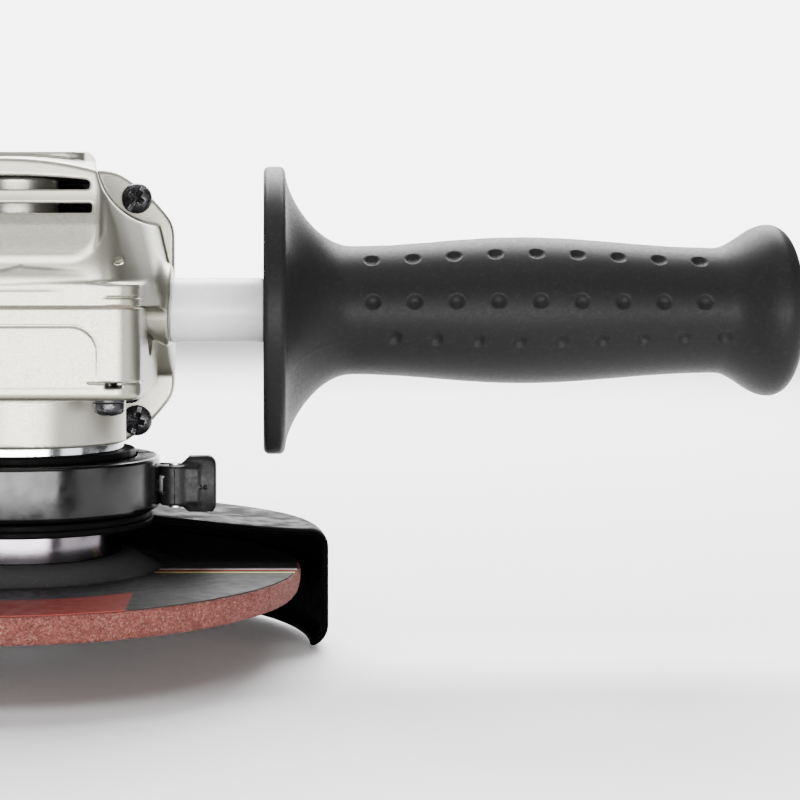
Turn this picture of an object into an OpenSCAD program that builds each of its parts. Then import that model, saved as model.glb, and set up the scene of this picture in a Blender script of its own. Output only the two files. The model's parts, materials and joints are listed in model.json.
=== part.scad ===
// Angle grinder for 125 mm discs, as an assembly of separate pieces, in millimetres.
// Origin: where the spindle axis crosses the motor axis. +Z runs up the spindle away from the disc,
// +Y runs back along the motor, and +X points along the side handle.

/* [Disc] */
// Diameter of the grinding disc
disc_d = 125; // [115:1:125]
// Thickness of the grinding disc
disc_t = 6; // [5:0.5:6]
// Bore of the grinding disc
disc_bore_d = 22.23; // [22.23, 22.2]

/* [Head] */
// Half-width of the gearbox cover
cover_half_w = 28.4; // [28:0.1:28.6]
// Half-width of the flange that meets the motor housing
flange_half_w = 32.1; // [32:0.1:32.6]
// Height of the head's flat top above the motor axis
head_top = 35; // [34.8:0.1:35.4]
// Radius of the neck that the guard is clamped on
neck_r = 22.3; // [22.3, 22.25]

/* [Gears] */
// Teeth on the large bevel gear
gear_teeth = 38; // [38]
// Teeth on the pinion
pinion_teeth = 10; // [10]
// Module of the gears at their outer end
gear_module = 1.1; // [1.1]

/* [Motor] */
// Half-width of the motor housing
motor_half_w = 26; // [25.8:0.1:26.2]
// Half-height of the motor housing
motor_half_h = 28.5; // [28.3:0.1:28.7]
// Length of the laminated cores
core_len = 38; // [36:1:38]

/* [Body] */
// Where the rear cover ends
tail_y = 234; // [230:1:236]

/* [Side handle] */
// Radius of the handle's hand guard flange
grip_flange_r = 32.4; // [30:0.2:33]
// Length of the grip from its flange to its end
grip_len = 117.5; // [111:0.5:119]

/* [Hidden] */
$fn = 72;

run_gap = 0.05;      // radial clearance of a running fit
cut = 1;             // how far a cutter passes a face

// Levels along the spindle
parting_z = 1;
cover_bottom_z = -18.6;
paint_end_z = -29.6;
neck_end_z = -45;
collar_top_z = -31.1;
flange_top_z = -48.4;
hub_top_z = -54.3;
face_top_z = -57.6;
nut_end_z = -68;
spindle_end_z = -69.5;
disc_r = disc_d / 2;
bore_r = disc_bore_d / 2;
bore_wall = 1.1;     // metal bush round the disc's bore
label_t = 0.25;
thread_r = 6.95;     // M14 spindle thread
paint_r = 22.8;

// Places along the motor
head_front_y = -34;
cover_front_y = -33.4;
flange_y = 29.5;
head_end_y = 35;
pinion_y = 14;
front_bearing_y = 24;
core_y = 56;
coil_ring = 12.8;    // radius of the ring of winding slots
core_end_y = core_y + core_len;
commutator_y = 103;
rear_bearing_y = 122;
motor_end_y = 140;
shaft_end_y = 130;
squircle_r = 38;     // circle that rounds the corners of the head's flange
motor_r = 31;        // circle that rounds the corners of the motor housing
wall = 2.4;

// Gear geometry: both pitch cones have their apex at the origin
gear_r = gear_module * gear_teeth / 2;
pinion_r = gear_module * pinion_teeth / 2;
pitch_slope = atan(pinion_r / gear_r);
face_share = 0.3;    // the teeth take this share of the cone
flank = 20;
gear_add = 0.8 * gear_module;
gear_ded = 1.35 * gear_module;
pinion_add = gear_module;
pinion_ded = 1.1 * gear_module;
tooth_pitch = PI * gear_module;
lock_y = -11.5;      // the lock pin and the holes it enters lie on this radius
lock_pin_r = 2;
bush_top_z = 19;
bearing_low_z = -26.5;
bearing_r = 16;      // spindle bearing
motor_bearing_r = [11, 9.5];
key_slot = [4.4, -1.5, -12.6];

// Screws
housing_screw_x = 23.1;
housing_screw_z = 27;
cover_screw_x = 21.1;
cover_screw_y = 22;
pocket_r = 15.8;
pocket_turn = 3.6;   // the pockets close in towards the rear
flange_low = 32.6;   // how far the flange reaches below the motor axis
boss_face_x = 33.1;  // face of each threaded side boss
boss_r = 10;
boss_inner_x = 22.5;
stud_r = 4;          // M8
nut_pocket_x = 27.1; // hexagon pocket in the grip, from its flange face
screw_r = 2;         // M4 screws of the head
thread_hole_r = 2;
screw_hole_r = 2.2;
retainer_screw_r = 1.5;
retainer_screw_ring = 18.8;
stator_screw_x = 18;
stator_screw_z = 17.5;
rear_screws = [[150, -17], [150, 10], [220, -17], [220, 17]];

// Guard and clamp
collar_r = 24;
guard_r = 68.7;
guard_bottom_z = -76.6;
sheet = 1.5;
band_r = 30.5;
band_top_z = -33.2;
band_bottom_z = -44.5;
lever_x = 34;
lever_y = 1;
bolt_z = -39.6;       // axis of the bolt that draws the band together
bolt_r = 2;
lever_pin_r = 1.5;
ear_y = [4.4, 9.4];
ear_t = 2;
ear_low_z = -43.7;
ear_h = 8.2;
guard_top_z = -46.4;

// Side handle
sleeve_r = 7.3;
grip_x = 54;

paint = [0.78, 0.78, 0.75];
steel = [0.62, 0.63, 0.66];
black = [0.09, 0.09, 0.1];
brass = [0.75, 0.58, 0.3];
copper = [0.72, 0.38, 0.18];
plastic = [0.2, 0.21, 0.23];

module along_y(y) { translate([0, y, 0]) rotate([-90, 0, 0]) children(); }
module along_x(x) { translate([x, 0, 0]) rotate([0, 90, 0]) children(); }
module both_sides() {
  children();
  mirror([1, 0, 0]) children();
}
module ring(r_out, r_in, h) {
  difference() {
    cylinder(r = r_out, h = h);
    translate([0, 0, -cut]) cylinder(r = r_in, h = h + 2 * cut);
  }
}
module at_corners(x, y) {
  for (sx = [-1, 1], sy = [-1, 1]) translate([sx * x, sy * y, 0]) children();
}
// A round-cornered outline: a circle cut by four flats
module squircle(half_w, half_h, r) {
  intersection() {
    circle(r = r);
    square([2 * half_w, 2 * half_h], center = true);
  }
}
// Extrudes along +Y an outline whose y points down
module slab_y(y, length) { translate([0, y, 0]) rotate([-90, 0, 0]) linear_extrude(length) children(); }
// The same with the outline's y pointing up
module upright_slab(y, length) {
  translate([0, y, 0]) rotate([90, 0, 0]) mirror([0, 0, 1]) linear_extrude(length) children();
}
module at_flange_screws() {
  for (sx = [-1, 1], sz = [-1, 1]) translate([sx * housing_screw_x, 0, sz * housing_screw_z]) children();
}
module at_retainer_screws() {
  for (i = [0:2]) rotate(30 + 120 * i) translate([retainer_screw_ring, 0, 0]) children();
}
module at_stator_screws() {
  for (s = [-1, 1]) translate([s * stator_screw_x, 0, s * stator_screw_z]) children();
}
module at_rear_screws() {
  for (p = rear_screws) translate([0, p[0], p[1]]) children();
}
// Points of an arc, from angle a to angle b
function arc(cx, cy, r, a, b, steps) = [
  for (i = [0:steps]) let (t = a + (b - a) * i / steps) [cx + r * cos(t), cy + r * sin(t)]
];
// The same outline carried over to the other side of the axis
function with_mirror(side) = concat(side, [for (i = [len(side) - 1:-1:0]) [-side[i][0], side[i][1]]]);
// Eased step from 0 to 1
function ease(t) = (1 - cos(180 * t)) / 2;

// A sealed ball bearing's outer ring, with its balls and one cage shield a side
module bearing_outer(r_out, r_in, h) {
  pitch = (r_out + r_in) / 2;
  ball = (r_out - r_in) * 0.27;
  difference() {
    ring(r_out, pitch + ball * 0.75, h);
    translate([0, 0, h / 2]) rotate_extrude() translate([pitch, 0]) circle(r = ball + 0.06);
  }
  for (i = [0:7]) rotate(i * 45) translate([pitch, 0, h / 2]) sphere(r = ball, $fn = 32);
}
module bearing_inner(r_out, r_in, h) {
  pitch = (r_out + r_in) / 2;
  ball = (r_out - r_in) * 0.27;
  difference() {
    ring(pitch - ball * 0.75, r_in, h);
    translate([0, 0, h / 2]) rotate_extrude() translate([pitch, 0]) circle(r = ball + 0.06);
  }
}
// A helical spring, swept as one closed tube
module coil_spring(r, wire_r, height, turns, steps = 14, sides = 6) {
  n = round(turns * steps);
  points = [for (i = [0:n], j = [0:sides - 1])
    let (a = 360 * i / steps, rr = r + wire_r * cos(360 * j / sides))
    [rr * cos(a), rr * sin(a), height * i / n + wire_r * sin(360 * j / sides)]];
  tube = [for (i = [0:n - 1], j = [0:sides - 1])
    let (k = (j + 1) % sides)
    [i * sides + j, i * sides + k, (i + 1) * sides + k, (i + 1) * sides + j]];
  ends = [[for (j = [sides - 1:-1:0]) j], [for (j = [0:sides - 1]) n * sides + j]];
  polyhedron(points, concat(tube, ends));
}
// A wedge with its tip at the origin that widens with distance; x is across, y along, z up
module tooth_gap(y, z_low, z_high, half_low, half_high) {
  far_end = [[-half_low, y, z_low], [half_low, y, z_low], [half_high, y, z_high], [-half_high, y, z_high]];
  polyhedron(
    concat([[0, 0, 0]], far_end),
    [[0, 2, 1], [0, 3, 2], [0, 4, 3], [0, 1, 4], [1, 2, 3, 4]]
  );
}
module screw_head(r, h) {
  slot_w = r * 0.28;
  difference() {
    cylinder(r = r, h = h);
    translate([0, 0, h]) cube([2.2 * r, slot_w, h], center = true);
    translate([0, 0, h]) cube([slot_w, 1.1 * r, h * 1.4], center = true);
  }
}

// ---- Head ----
// Outline of the flange between head and motor; it is cut lower at the bottom, over the guard's clamp.
// Seen along +Y with the y of the outline pointing down.
module flange_outline(inset) {
  intersection() {
    squircle(flange_half_w - inset, 34 - inset, squircle_r - inset);
    translate([-50, inset - 34]) square([100, 34 + flange_low - 2 * inset]);
  }
}
module head_front_outline() {
  crown_centre = -35.1;
  crown_r = 66.8;
  polygon(with_mirror(concat(
    [[24.3, parting_z], [24.3, 6], [19.6, 29.2]], arc(0, crown_centre, crown_r, 73, 90, 3)
  )));
}
module head_middle_outline() {
  polygon(with_mirror([[31.9, parting_z], [31.9, 7], [28, 22], [20, 30.7], [15.8, head_top]]));
}
module upper_outline(half_w) {
  intersection() {
    squircle(half_w, 34, squircle_r);
    translate([-50, parting_z]) square([100, 50]);
  }
}
module head_shell() {
  hull() {
    upright_slab(head_front_y, 4) head_front_outline();
    upright_slab(-4, 12) head_middle_outline();
    upright_slab(flange_y - 2, 2.1) upper_outline(flange_half_w - 0.6);
  }
}
// Two ducts that carry the motor's air forward to the slots in the front face
module air_channels() {
  both_sides() {
    translate([5, head_front_y + 4, 19.5]) cube([9.5, head_end_y - head_front_y, 8]);
    translate([4.6, head_front_y + 4, 19.8]) cube([13.4, 6, 8.2]);
  }
  translate([-18.4, head_front_y - cut, 20.7]) cube([36.8, 6, 1.8]);
  translate([-17.6, head_front_y - cut, 25.4]) cube([35.2, 6, 2.8]);
}
// Hollow of each upper corner, which leaves the flange bare round its screw
module screw_pocket() {
  depth = (flange_y - head_front_y) / cos(pocket_turn);
  translate([34, head_front_y, 36.5]) rotate([0, 0, pocket_turn]) along_y(-cut) {
    cylinder(r = pocket_r, h = depth + 3);
  }
}
module gear_housing() {
  color(paint) difference() {
    union() {
      difference() {
        head_shell();
        both_sides() screw_pocket();
      }
      slab_y(flange_y, head_end_y - flange_y) flange_outline(0);
      translate([0, 0, parting_z]) linear_extrude(3.6) cover_plan();
      along_y(23.7) cylinder(r = 14, h = 7);
      both_sides() along_x(boss_inner_x) cylinder(r = boss_r, h = boss_face_x - boss_inner_x);
    }
    translate([0, 0, -16]) cylinder(r = 23.5, h = 25.5);
    translate([0, 0, 8]) cylinder(r = 6.5, h = 12);
    along_y(0) cylinder(r = 10, h = front_bearing_y);
    along_y(front_bearing_y) cylinder(r = motor_bearing_r[0], h = 7);
    along_y(front_bearing_y + 7) cylinder(r = 16, h = 10);
    difference() {
      air_channels();
      translate([0, lock_y, 0]) cylinder(r = 9.3, h = 40);
    }
    translate([0, lock_y, 0]) cylinder(r = lock_pin_r + run_gap, h = 40);
    translate([0, lock_y, 14]) cylinder(r = 4.6, h = 10);
    translate([0, lock_y, 22]) cylinder(r = 7.8, h = 20);
    at_flange_screws() along_y(flange_y - cut) cylinder(r = screw_hole_r, h = 12);
    at_corners(cover_screw_x, cover_screw_y) translate([0, 0, parting_z - cut]) {
      cylinder(r = thread_hole_r, h = 12);
    }
    both_sides() along_x(25) cylinder(r = stud_r + run_gap, h = 12);
  }
}
module cover_plan(grow = 0) {
  hull() {
    both_sides() translate([cover_half_w - 6, cover_front_y + 6]) circle(r = 6 + grow, $fn = 32);
    both_sides() translate([cover_half_w - 6.6, 24.7]) circle(r = 4.5 + grow, $fn = 32);
  }
}
module gearbox_cover() {
  color(paint) difference() {
    union() {
      translate([0, 0, cover_bottom_z]) linear_extrude(parting_z - 0.3 - cover_bottom_z) cover_plan();
      translate([0, 0, paint_end_z]) cylinder(r = paint_r, h = 12);
      translate([0, 0, neck_end_z]) cylinder(r = neck_r, h = 20);
    }
    translate([0, 0, -14]) cylinder(r = 23, h = 20);
    translate([0, 0, -16.5]) cylinder(r = 21, h = 20);
    translate([0, 0, bearing_low_z]) cylinder(r = bearing_r, h = 20);
    translate([0, 0, neck_end_z - cut]) cylinder(r = 12.5, h = 20);
    along_y(21.5) cylinder(r = 14.3, h = 12);
    both_sides() along_x(boss_inner_x - 0.3) cylinder(r = boss_r + 0.3, h = 12);
    at_corners(cover_screw_x, cover_screw_y) translate([0, 0, cover_bottom_z - cut]) {
      cylinder(r = screw_hole_r, h = 22);
    }
    at_retainer_screws() translate([0, 0, -22]) cylinder(r = retainer_screw_r, h = 7);
  }
}
module cover_gasket() {
  color([0.3, 0.28, 0.24]) difference() {
    translate([0, 0, parting_z - 0.3]) linear_extrude(0.3) cover_plan(-0.3);
    translate([0, 0, -1]) cylinder(r = 23.6, h = 4);
    along_y(0) cylinder(r = 14.3, h = 40);
    both_sides() along_x(boss_inner_x - 0.3) cylinder(r = boss_r + 0.3, h = 12);
    at_corners(cover_screw_x, cover_screw_y) translate([0, 0, -1]) cylinder(r = screw_hole_r, h = 4);
  }
}
module cover_screws() {
  color(black) at_corners(cover_screw_x, cover_screw_y) {
    translate([0, 0, cover_bottom_z - 1]) mirror([0, 0, 1]) screw_head(3.4, 2.9);
    translate([0, 0, cover_bottom_z - 1.2]) cylinder(r = screw_r, h = 30);
  }
}
module cover_screw_washers() {
  color(steel) at_corners(cover_screw_x, cover_screw_y) translate([0, 0, cover_bottom_z - 1]) {
    ring(3.5, 2.1, 1);
  }
}
module housing_screws() {
  color(black) at_flange_screws() translate([0, flange_y, 0]) {
    rotate([90, 0, 0]) screw_head(3.7, 2.8);
    rotate([-90, 0, 0]) cylinder(r = screw_r, h = 25);
  }
}

// ---- Spindle ----
module spindle() {
  color(steel) {
    difference() {
      union() {
        translate([0, 0, 7]) cylinder(r = 4, h = 12.5);
        translate([0, 0, -17]) cylinder(r = 5.5, h = 24.5);
        translate([0, 0, -27]) cylinder(r = 6, h = 10.5);
        translate([0, 0, -44.4]) cylinder(r = 9, h = 17.9);
        translate([0, 0, flange_top_z]) cylinder(r = 10, h = 4.2);
        translate([0, 0, spindle_end_z + 1]) cylinder(r = thread_r, h = 22);
        translate([0, 0, spindle_end_z]) cylinder(r1 = thread_r - 1, r2 = thread_r, h = 1.02);
      }
      translate(key_slot) cube([3, 3, 5.7]);
    }
  }
}
module gear_key() { color(steel) translate([4.45, -1.45, -12.5]) cube([2.2, 2.9, 5.4]); }
module bevel_gear() {
  outer = gear_r;
  inner = gear_r * (1 - face_share);
  rise = sin(pitch_slope);
  run = cos(pitch_slope);
  tip = [for (s = [1, 1 - face_share]) [s * (outer + gear_add * rise), s * (-pinion_r + gear_add * run)]];
  reach = 1.12;
  low = -pinion_r - gear_ded * run;
  high = -pinion_r + 1.6 * gear_module;
  space = tooth_pitch * 0.62 / 2;
  space_low = space - gear_ded * tan(flank);
  space_high = space + 1.6 * gear_module * tan(flank);
  blank = concat(
    [[5.5, -16.5], [8.5, -16.5], [8.5, -12.5], [18.5, -12.5], [21.4, -9.5]], tip,
    [[inner - 0.9, -7.2], [8.5, -7.2], [5.5, -7.2]]
  );
  color(steel) difference() {
    rotate_extrude() polygon(blank);
    for (i = [0:gear_teeth - 1]) rotate(i * 360 / gear_teeth) {
      tooth_gap(outer * reach, low * reach, high * reach, space_low * reach, space_high * reach);
    }
    for (i = [0:3]) rotate(90 * i) translate([0, lock_y, -14]) cylinder(r = 2.6, h = 10);
    translate([4, -1.5, -13]) cube([2.7, 3, 8]);
  }
}
module spindle_bearing_outer() {
  color(steel) translate([0, 0, bearing_low_z]) bearing_outer(bearing_r, 6, 10);
}
module spindle_bearing_inner() {
  color(steel) translate([0, 0, bearing_low_z]) bearing_inner(bearing_r, 6, 10);
}
module spindle_bush() {
  length = 10.5;
  color(brass) translate([0, 0, bush_top_z - length]) ring(6.5, 4 + run_gap, length);
}
module bearing_retainer() {
  color(steel) difference() {
    translate([0, 0, -16.5]) ring(21, 9.2, 1.9);
    at_retainer_screws() translate([0, 0, -17]) cylinder(r = retainer_screw_r + 0.1, h = 4);
  }
}
module retainer_screws() {
  color(steel) at_retainer_screws() {
    translate([0, 0, -21.8]) cylinder(r = retainer_screw_r, h = 7.3);
    translate([0, 0, -14.6]) cylinder(r = 2.1, h = 1.3);
  }
}
module dust_ring() { color(steel) translate([0, 0, neck_end_z + 1.6]) ring(11.9, 9, 3.4); }
module inner_flange() {
  color(steel) difference() {
    union() {
      translate([0, 0, hub_top_z]) cylinder(r = 22, h = flange_top_z - hub_top_z);
      translate([0, 0, hub_top_z - 3]) cylinder(r = bore_r - 0.07, h = 4);
    }
    translate([0, 0, hub_top_z - 4]) cylinder(r = 7, h = 20);
  }
}
module grinding_disc() {
  dish = hub_top_z - face_top_z;
  worn = 0.7;
  hub_r = 22.7;
  flat_r = 31.3;
  top = face_top_z - label_t;
  bottom = face_top_z - disc_t;
  color([0.6, 0.38, 0.33]) rotate_extrude($fn = 128) polygon([
    [bore_r + bore_wall, hub_top_z], [hub_r, hub_top_z], [flat_r, top], [disc_r, top],
    [disc_r, bottom + worn], [disc_r - worn, bottom], [flat_r - dish / 2, bottom],
    [hub_r - dish / 2, hub_top_z - disc_t], [bore_r + bore_wall, hub_top_z - disc_t]
  ]);
}
module disc_bore_ring() {
  color(steel) translate([0, 0, hub_top_z - disc_t]) ring(bore_r + bore_wall, bore_r, disc_t);
}
module disc_label() {
  color([0.35, 0.35, 0.36]) translate([0, 0, face_top_z - label_t]) ring(disc_r - 0.5, 31.4, label_t);
}
module lock_nut() {
  seat = hub_top_z - disc_t;
  color(black) difference() {
    union() {
      translate([0, 0, seat - 4.7]) cylinder(r = 19, h = 4.7);
      translate([0, 0, seat - 0.5]) cylinder(r = bore_r - 0.07, h = 2.8);
      translate([0, 0, nut_end_z]) cylinder(r = 10.5, h = 5);
    }
    translate([0, 0, nut_end_z - cut]) cylinder(r = 7, h = 20);
    for (i = [0:3]) rotate(45 + 90 * i) translate([15, 0, seat - 6]) cylinder(r = 2.3, h = 4.5);
  }
}

// ---- Spindle lock ----
module lock_button() {
  skirt = [[0, 28.5], [2.6, 28.5], [2.6, 27.5], [7.5, 27.5]];
  color(black) translate([0, lock_y, 0]) difference() {
    rotate_extrude() polygon(concat(skirt, arc(5.9, 31.3, 1.6, 0, 70, 4), [[3, 33.1], [0, 33.2]]));
    translate([0, 0, 26]) cylinder(r = lock_pin_r, h = 4.5);
  }
}
module lock_pin() {
  color(steel) translate([0, lock_y, -5.2]) cylinder(r = lock_pin_r, h = 35.6);
}
module lock_spring() { color(steel) translate([0, lock_y, 14.5]) coil_spring(3.5, 0.45, 12.4, 6); }

// ---- Armature ----
module armature_shaft() {
  color(steel) {
    along_y(10) cylinder(r = 2.4, h = 4.5);
    along_y(14) cylinder(r = 2.5, h = 10.2);
    along_y(front_bearing_y) cylinder(r = 4, h = 7.2);
    along_y(31) cylinder(r = 5, h = rear_bearing_y - 31);
    along_y(rear_bearing_y - 0.5) cylinder(r = 3.5, h = shaft_end_y - rear_bearing_y + 0.5);
  }
}
module armature_core() {
  color([0.35, 0.35, 0.37]) along_y(core_y) difference() {
    ring(15.5, 5, core_len);
    for (i = [0:11]) rotate(30 * i) translate([coil_ring, 0, -cut]) {
      cylinder(r = 2, h = core_len + 2 * cut);
      translate([0, -0.6, 0]) cube([4, 1.2, core_len + 2 * cut]);
    }
  }
}
module armature_windings() {
  head = [[5.1, 0], [12.5, 0], [14.6, 2], [14.6, 5.7], [5.1, 5.7]];
  color(copper) {
    along_y(core_y - 5) for (i = [0:11]) rotate(30 * i) translate([coil_ring, 0, 0]) {
      cylinder(r = 1.9, h = core_len + 10);
    }
    for (y = [core_y - 6, core_end_y + 0.3]) along_y(y) rotate_extrude() polygon(head);
  }
}
module commutator() {
  color(copper) along_y(commutator_y) difference() {
    union() {
      ring(11, 5, 15);
      ring(12.6, 5, 2);
    }
    for (i = [0:23]) rotate(15 * i) translate([10, -0.2, -cut]) cube([4, 0.4, 18]);
  }
}
module cooling_fan() {
  color(black) {
    along_y(45.4) ring(24, 5, 1.6);
    along_y(38) ring(8, 5, 8);
    along_y(39) for (i = [0:17]) rotate(20 * i) translate([7.5, -0.6, 0]) cube([16, 1.2, 7]);
  }
}
module bevel_pinion() {
  rise = sin(pitch_slope);
  run = cos(pitch_slope);
  tip_r = pinion_r + pinion_add * run;
  tip_y = gear_r - pinion_add * rise;
  tip = [for (s = [1 - face_share, 1]) [s * tip_r, s * tip_y]];
  space = tooth_pitch * 0.332;
  low = pinion_r - pinion_ded;
  high = pinion_r + 1.8 * gear_module;
  reach = 1.12;
  blank = concat([[2.5, pinion_y], [3, pinion_y]], tip, [[5.4, 21.9], [5.4, 23.9], [2.5, 23.9]]);
  color(steel) along_y(0) difference() {
    rotate_extrude() polygon(blank);
    for (i = [0:pinion_teeth - 1]) rotate([0, 0, (i + 0.5) * 360 / pinion_teeth]) {
      pinion_gap(gear_r * reach, low * reach, high * reach, (space - 0.75) * reach, (space + 1.5) * reach);
    }
  }
}
// The same wedge for the pinion, with the axis along z and the gap opening along +y
module pinion_gap(z, r_low, r_high, half_low, half_high) {
  far_end = [[-half_low, r_low, z], [half_low, r_low, z], [half_high, r_high, z], [-half_high, r_high, z]];
  polyhedron(
    concat([[0, 0, 0]], far_end),
    [[0, 1, 2], [0, 2, 3], [0, 3, 4], [0, 4, 1], [4, 3, 2, 1]]
  );
}
module pinion_nut() {
  color(steel) along_y(10.3) difference() {
    cylinder(r = 4.3, h = 3.6, $fn = 6);
    translate([0, 0, -cut]) cylinder(r = 2.4, h = 6);
  }
}
module front_bearing_outer() {
  color(steel) along_y(front_bearing_y) bearing_outer(motor_bearing_r[0], 4, 7);
}
module front_bearing_inner() {
  color(steel) along_y(front_bearing_y) bearing_inner(motor_bearing_r[0], 4, 7);
}
module rear_bearing_outer() {
  color(steel) along_y(rear_bearing_y) bearing_outer(motor_bearing_r[1], 3.5, 6);
}
module rear_bearing_inner() {
  color(steel) along_y(rear_bearing_y) bearing_inner(motor_bearing_r[1], 3.5, 6);
}
module front_bearing_plate() { color(steel) along_y(31) ring(15.9, 8, 1.5); }
module baffle_plate() {
  color(black) difference() {
    slab_y(head_end_y, 1.4) squircle(26.4, 26.4, 26.8);
    along_y(head_end_y - cut) cylinder(r = 15, h = 4);
  }
}

// ---- Motor housing and stator ----
module motor_outline(inset = 0) { squircle(motor_half_w - inset, motor_half_h - inset, motor_r - inset); }
module motor_housing() {
  bulkhead_y = 121;
  color(plastic) difference() {
    union() {
      slab_y(head_end_y, 5) flange_outline(0.5);
      hull() {
        slab_y(head_end_y + 4.9, 0.1) flange_outline(0.5);
        slab_y(51, 0.1) motor_outline();
      }
      slab_y(51, motor_end_y - 51) motor_outline();
    }
    along_y(head_end_y - cut) cylinder(r = 26.9, h = 13 + cut);
    difference() {
      slab_y(47.9, motor_end_y - 47) motor_outline(wall);
      slab_y(53, 3) difference() {
        motor_outline(wall);
        circle(r = 22);
      }
      slab_y(bulkhead_y, 3) motor_outline(wall);
      along_y(bulkhead_y) cylinder(r = 12, h = 7);
    }
    along_y(bulkhead_y - cut) cylinder(r = 6, h = 12);
    along_y(rear_bearing_y) cylinder(r = motor_bearing_r[1], h = 8);
    along_y(bulkhead_y - cut) for (a = [45:90:315]) rotate(a) translate([17.5, 0, 0]) {
      cylinder(r = 4.5, h = 6);
    }
    translate([-4, bulkhead_y - cut, 16]) cube([8, 6, 4.6]);
    translate([-4.2, 104, motor_half_h - 4]) cube([8.4, 14.5, 6]);
    at_flange_screws() along_y(head_end_y - cut) cylinder(r = thread_hole_r, h = 22);
    both_sides() for (i = [0:5]) translate([motor_half_w + 1, 128 - 4 * i, -8]) {
      cube([8, 1.6, 16], center = true);
    }
  }
}
module stator_core() {
  color([0.4, 0.4, 0.42]) difference() {
    slab_y(core_y, core_len) {
      squircle(motor_half_w - wall - 0.1, motor_half_h - wall - 0.05, motor_r - wall - 0.1);
    }
    along_y(core_y - cut) cylinder(r = 16.1, h = core_len + 2 * cut);
    both_sides() translate([15, core_y - cut, -9.5]) cube([5, core_len + 2 * cut, 19]);
    at_stator_screws() along_y(core_y - cut) cylinder(r = 1.6, h = core_len + 2 * cut);
  }
}
module field_coils() {
  color(copper) for (s = [0, 1]) mirror([0, 0, s]) {
    both_sides() translate([16.6, 51, 1.2]) cube([3.2, core_len + 10, 8]);
    for (y = [51, core_end_y + 0.3]) along_y(y) difference() {
      ring(20.5, 16.4, 4.7);
      translate([-30, -1.2, -cut]) cube([60, 40, 8]);
    }
  }
}
module stator_screws() {
  color(steel) at_stator_screws() {
    along_y(core_y + 0.1) cylinder(r = 1.5, h = core_len + 0.1);
    along_y(core_end_y) cylinder(r = 2.6, h = 1.6);
  }
}
module brush_holders() {
  color(brass) both_sides() difference() {
    translate([12.4, 106, -5.5]) cube([11, 9, 11]);
    translate([12, 107.5, -4]) cube([12, 6, 8]);
  }
}
module carbon_brushes() { color(black) both_sides() translate([11.05, 107.6, -3.9]) cube([8.4, 5.8, 7.8]); }
module brush_springs() {
  color(steel) both_sides() translate([19.9, 110.5, 0]) rotate([0, 90, 0]) coil_spring(2, 0.3, 3.1, 3);
}

// ---- Switch ----
module switch_body() {
  color(black) difference() {
    translate([-9, 172, -9]) cube([18, 28, 21.5]);
    translate([-3.4, 169, 8.6]) cube([6.8, 16, 6]);
  }
}
module switch_slider() {
  color(black) {
    hull() {
      translate([-7, 98, motor_half_h + 0.3]) cube([14, 29, 1.2]);
      translate([-5.5, 100, motor_half_h + 1.5]) cube([11, 25, 1.5]);
    }
    for (i = [0:5]) translate([-5, 103 + 3.4 * i, motor_half_h + 2.9]) cube([10, 1.5, 1]);
    translate([-2.5, 112, 19.5]) cube([5, 5.5, motor_half_h - 19]);
  }
}
module switch_rod() {
  color(steel) {
    translate([-3, 111, 16.5]) cube([6, 7.5, 3]);
    translate([-2.5, 114, 16.5]) cube([5, 67, 2]);
    translate([-3, 177, 9]) cube([6, 4, 9.4]);
  }
}

// ---- Rear cover ----
module rear_outline(inset, half_w, half_h) {
  squircle(half_w - inset, half_h - inset, (half_w + half_h) / 2 + 2.6 - inset);
}
module rear_solid(inset) {
  hull() {
    slab_y(motor_end_y, 0.1) motor_outline(inset);
    slab_y(178, 0.1) rear_outline(inset, 22.6, 23.5);
  }
  hull() {
    slab_y(178, 0.1) rear_outline(inset, 22.6, 23.5);
    slab_y(tail_y - 8 - inset, 0.1) rear_outline(inset, 20.6, 24.5);
  }
  hull() {
    slab_y(tail_y - 8 - inset, 0.1) rear_outline(inset, 20.6, 24.5);
    slab_y(tail_y - inset - 0.1, 0.1) rear_outline(inset, 15, 18);
  }
}
module rear_half() {
  difference() {
    intersection() {
      rear_solid(0);
      translate([0.03, motor_end_y, -60]) cube([60, 200, 120]);
    }
    difference() {
      rear_solid(wall);
      at_rear_screws() along_x(0) cylinder(r = 3.4, h = 40);
      along_y(tail_y - 12) cylinder(r = 11, h = 20);
    }
    along_y(tail_y - 10) cylinder(r = 8, h = 12);
    translate([-1, motor_end_y - 1, -1]) cube([60, 1, 2]);
    for (i = [0:4]) translate([20, 188 + 5 * i, -9]) cube([8, 2, 18]);
  }
}
module rear_cover_right() {
  color(plastic) difference() {
    rear_half();
    at_rear_screws() along_x(-1) cylinder(r = 1.5, h = 16);
  }
}
module rear_cover_left() {
  color(plastic) mirror([1, 0, 0]) difference() {
    rear_half();
    at_rear_screws() {
      along_x(-1) cylinder(r = 1.7, h = 40);
      along_x(13) cylinder(r = 3.2, h = 40);
    }
  }
}
module rear_cover_screws() {
  color(steel) mirror([1, 0, 0]) at_rear_screws() {
    along_x(-14) cylinder(r = 1.45, h = 27.2);
    along_x(13) screw_head(2.9, 2.2);
  }
}
module cord_gland() {
  color(black) along_y(tail_y - 10) ring(8, 4.3, 9.9);
}

// ---- Side handle ----
// Outline of the grip as [distance from the flange face, radius] at its turning points
grip_turns = [[4.9, grip_flange_r - 1.4], [20, 14.5], [58, 16.5], [101.5, 14.15], [113.5, 19.35]];
function between(a, b, t) = a + (b - a) * t;
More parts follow.
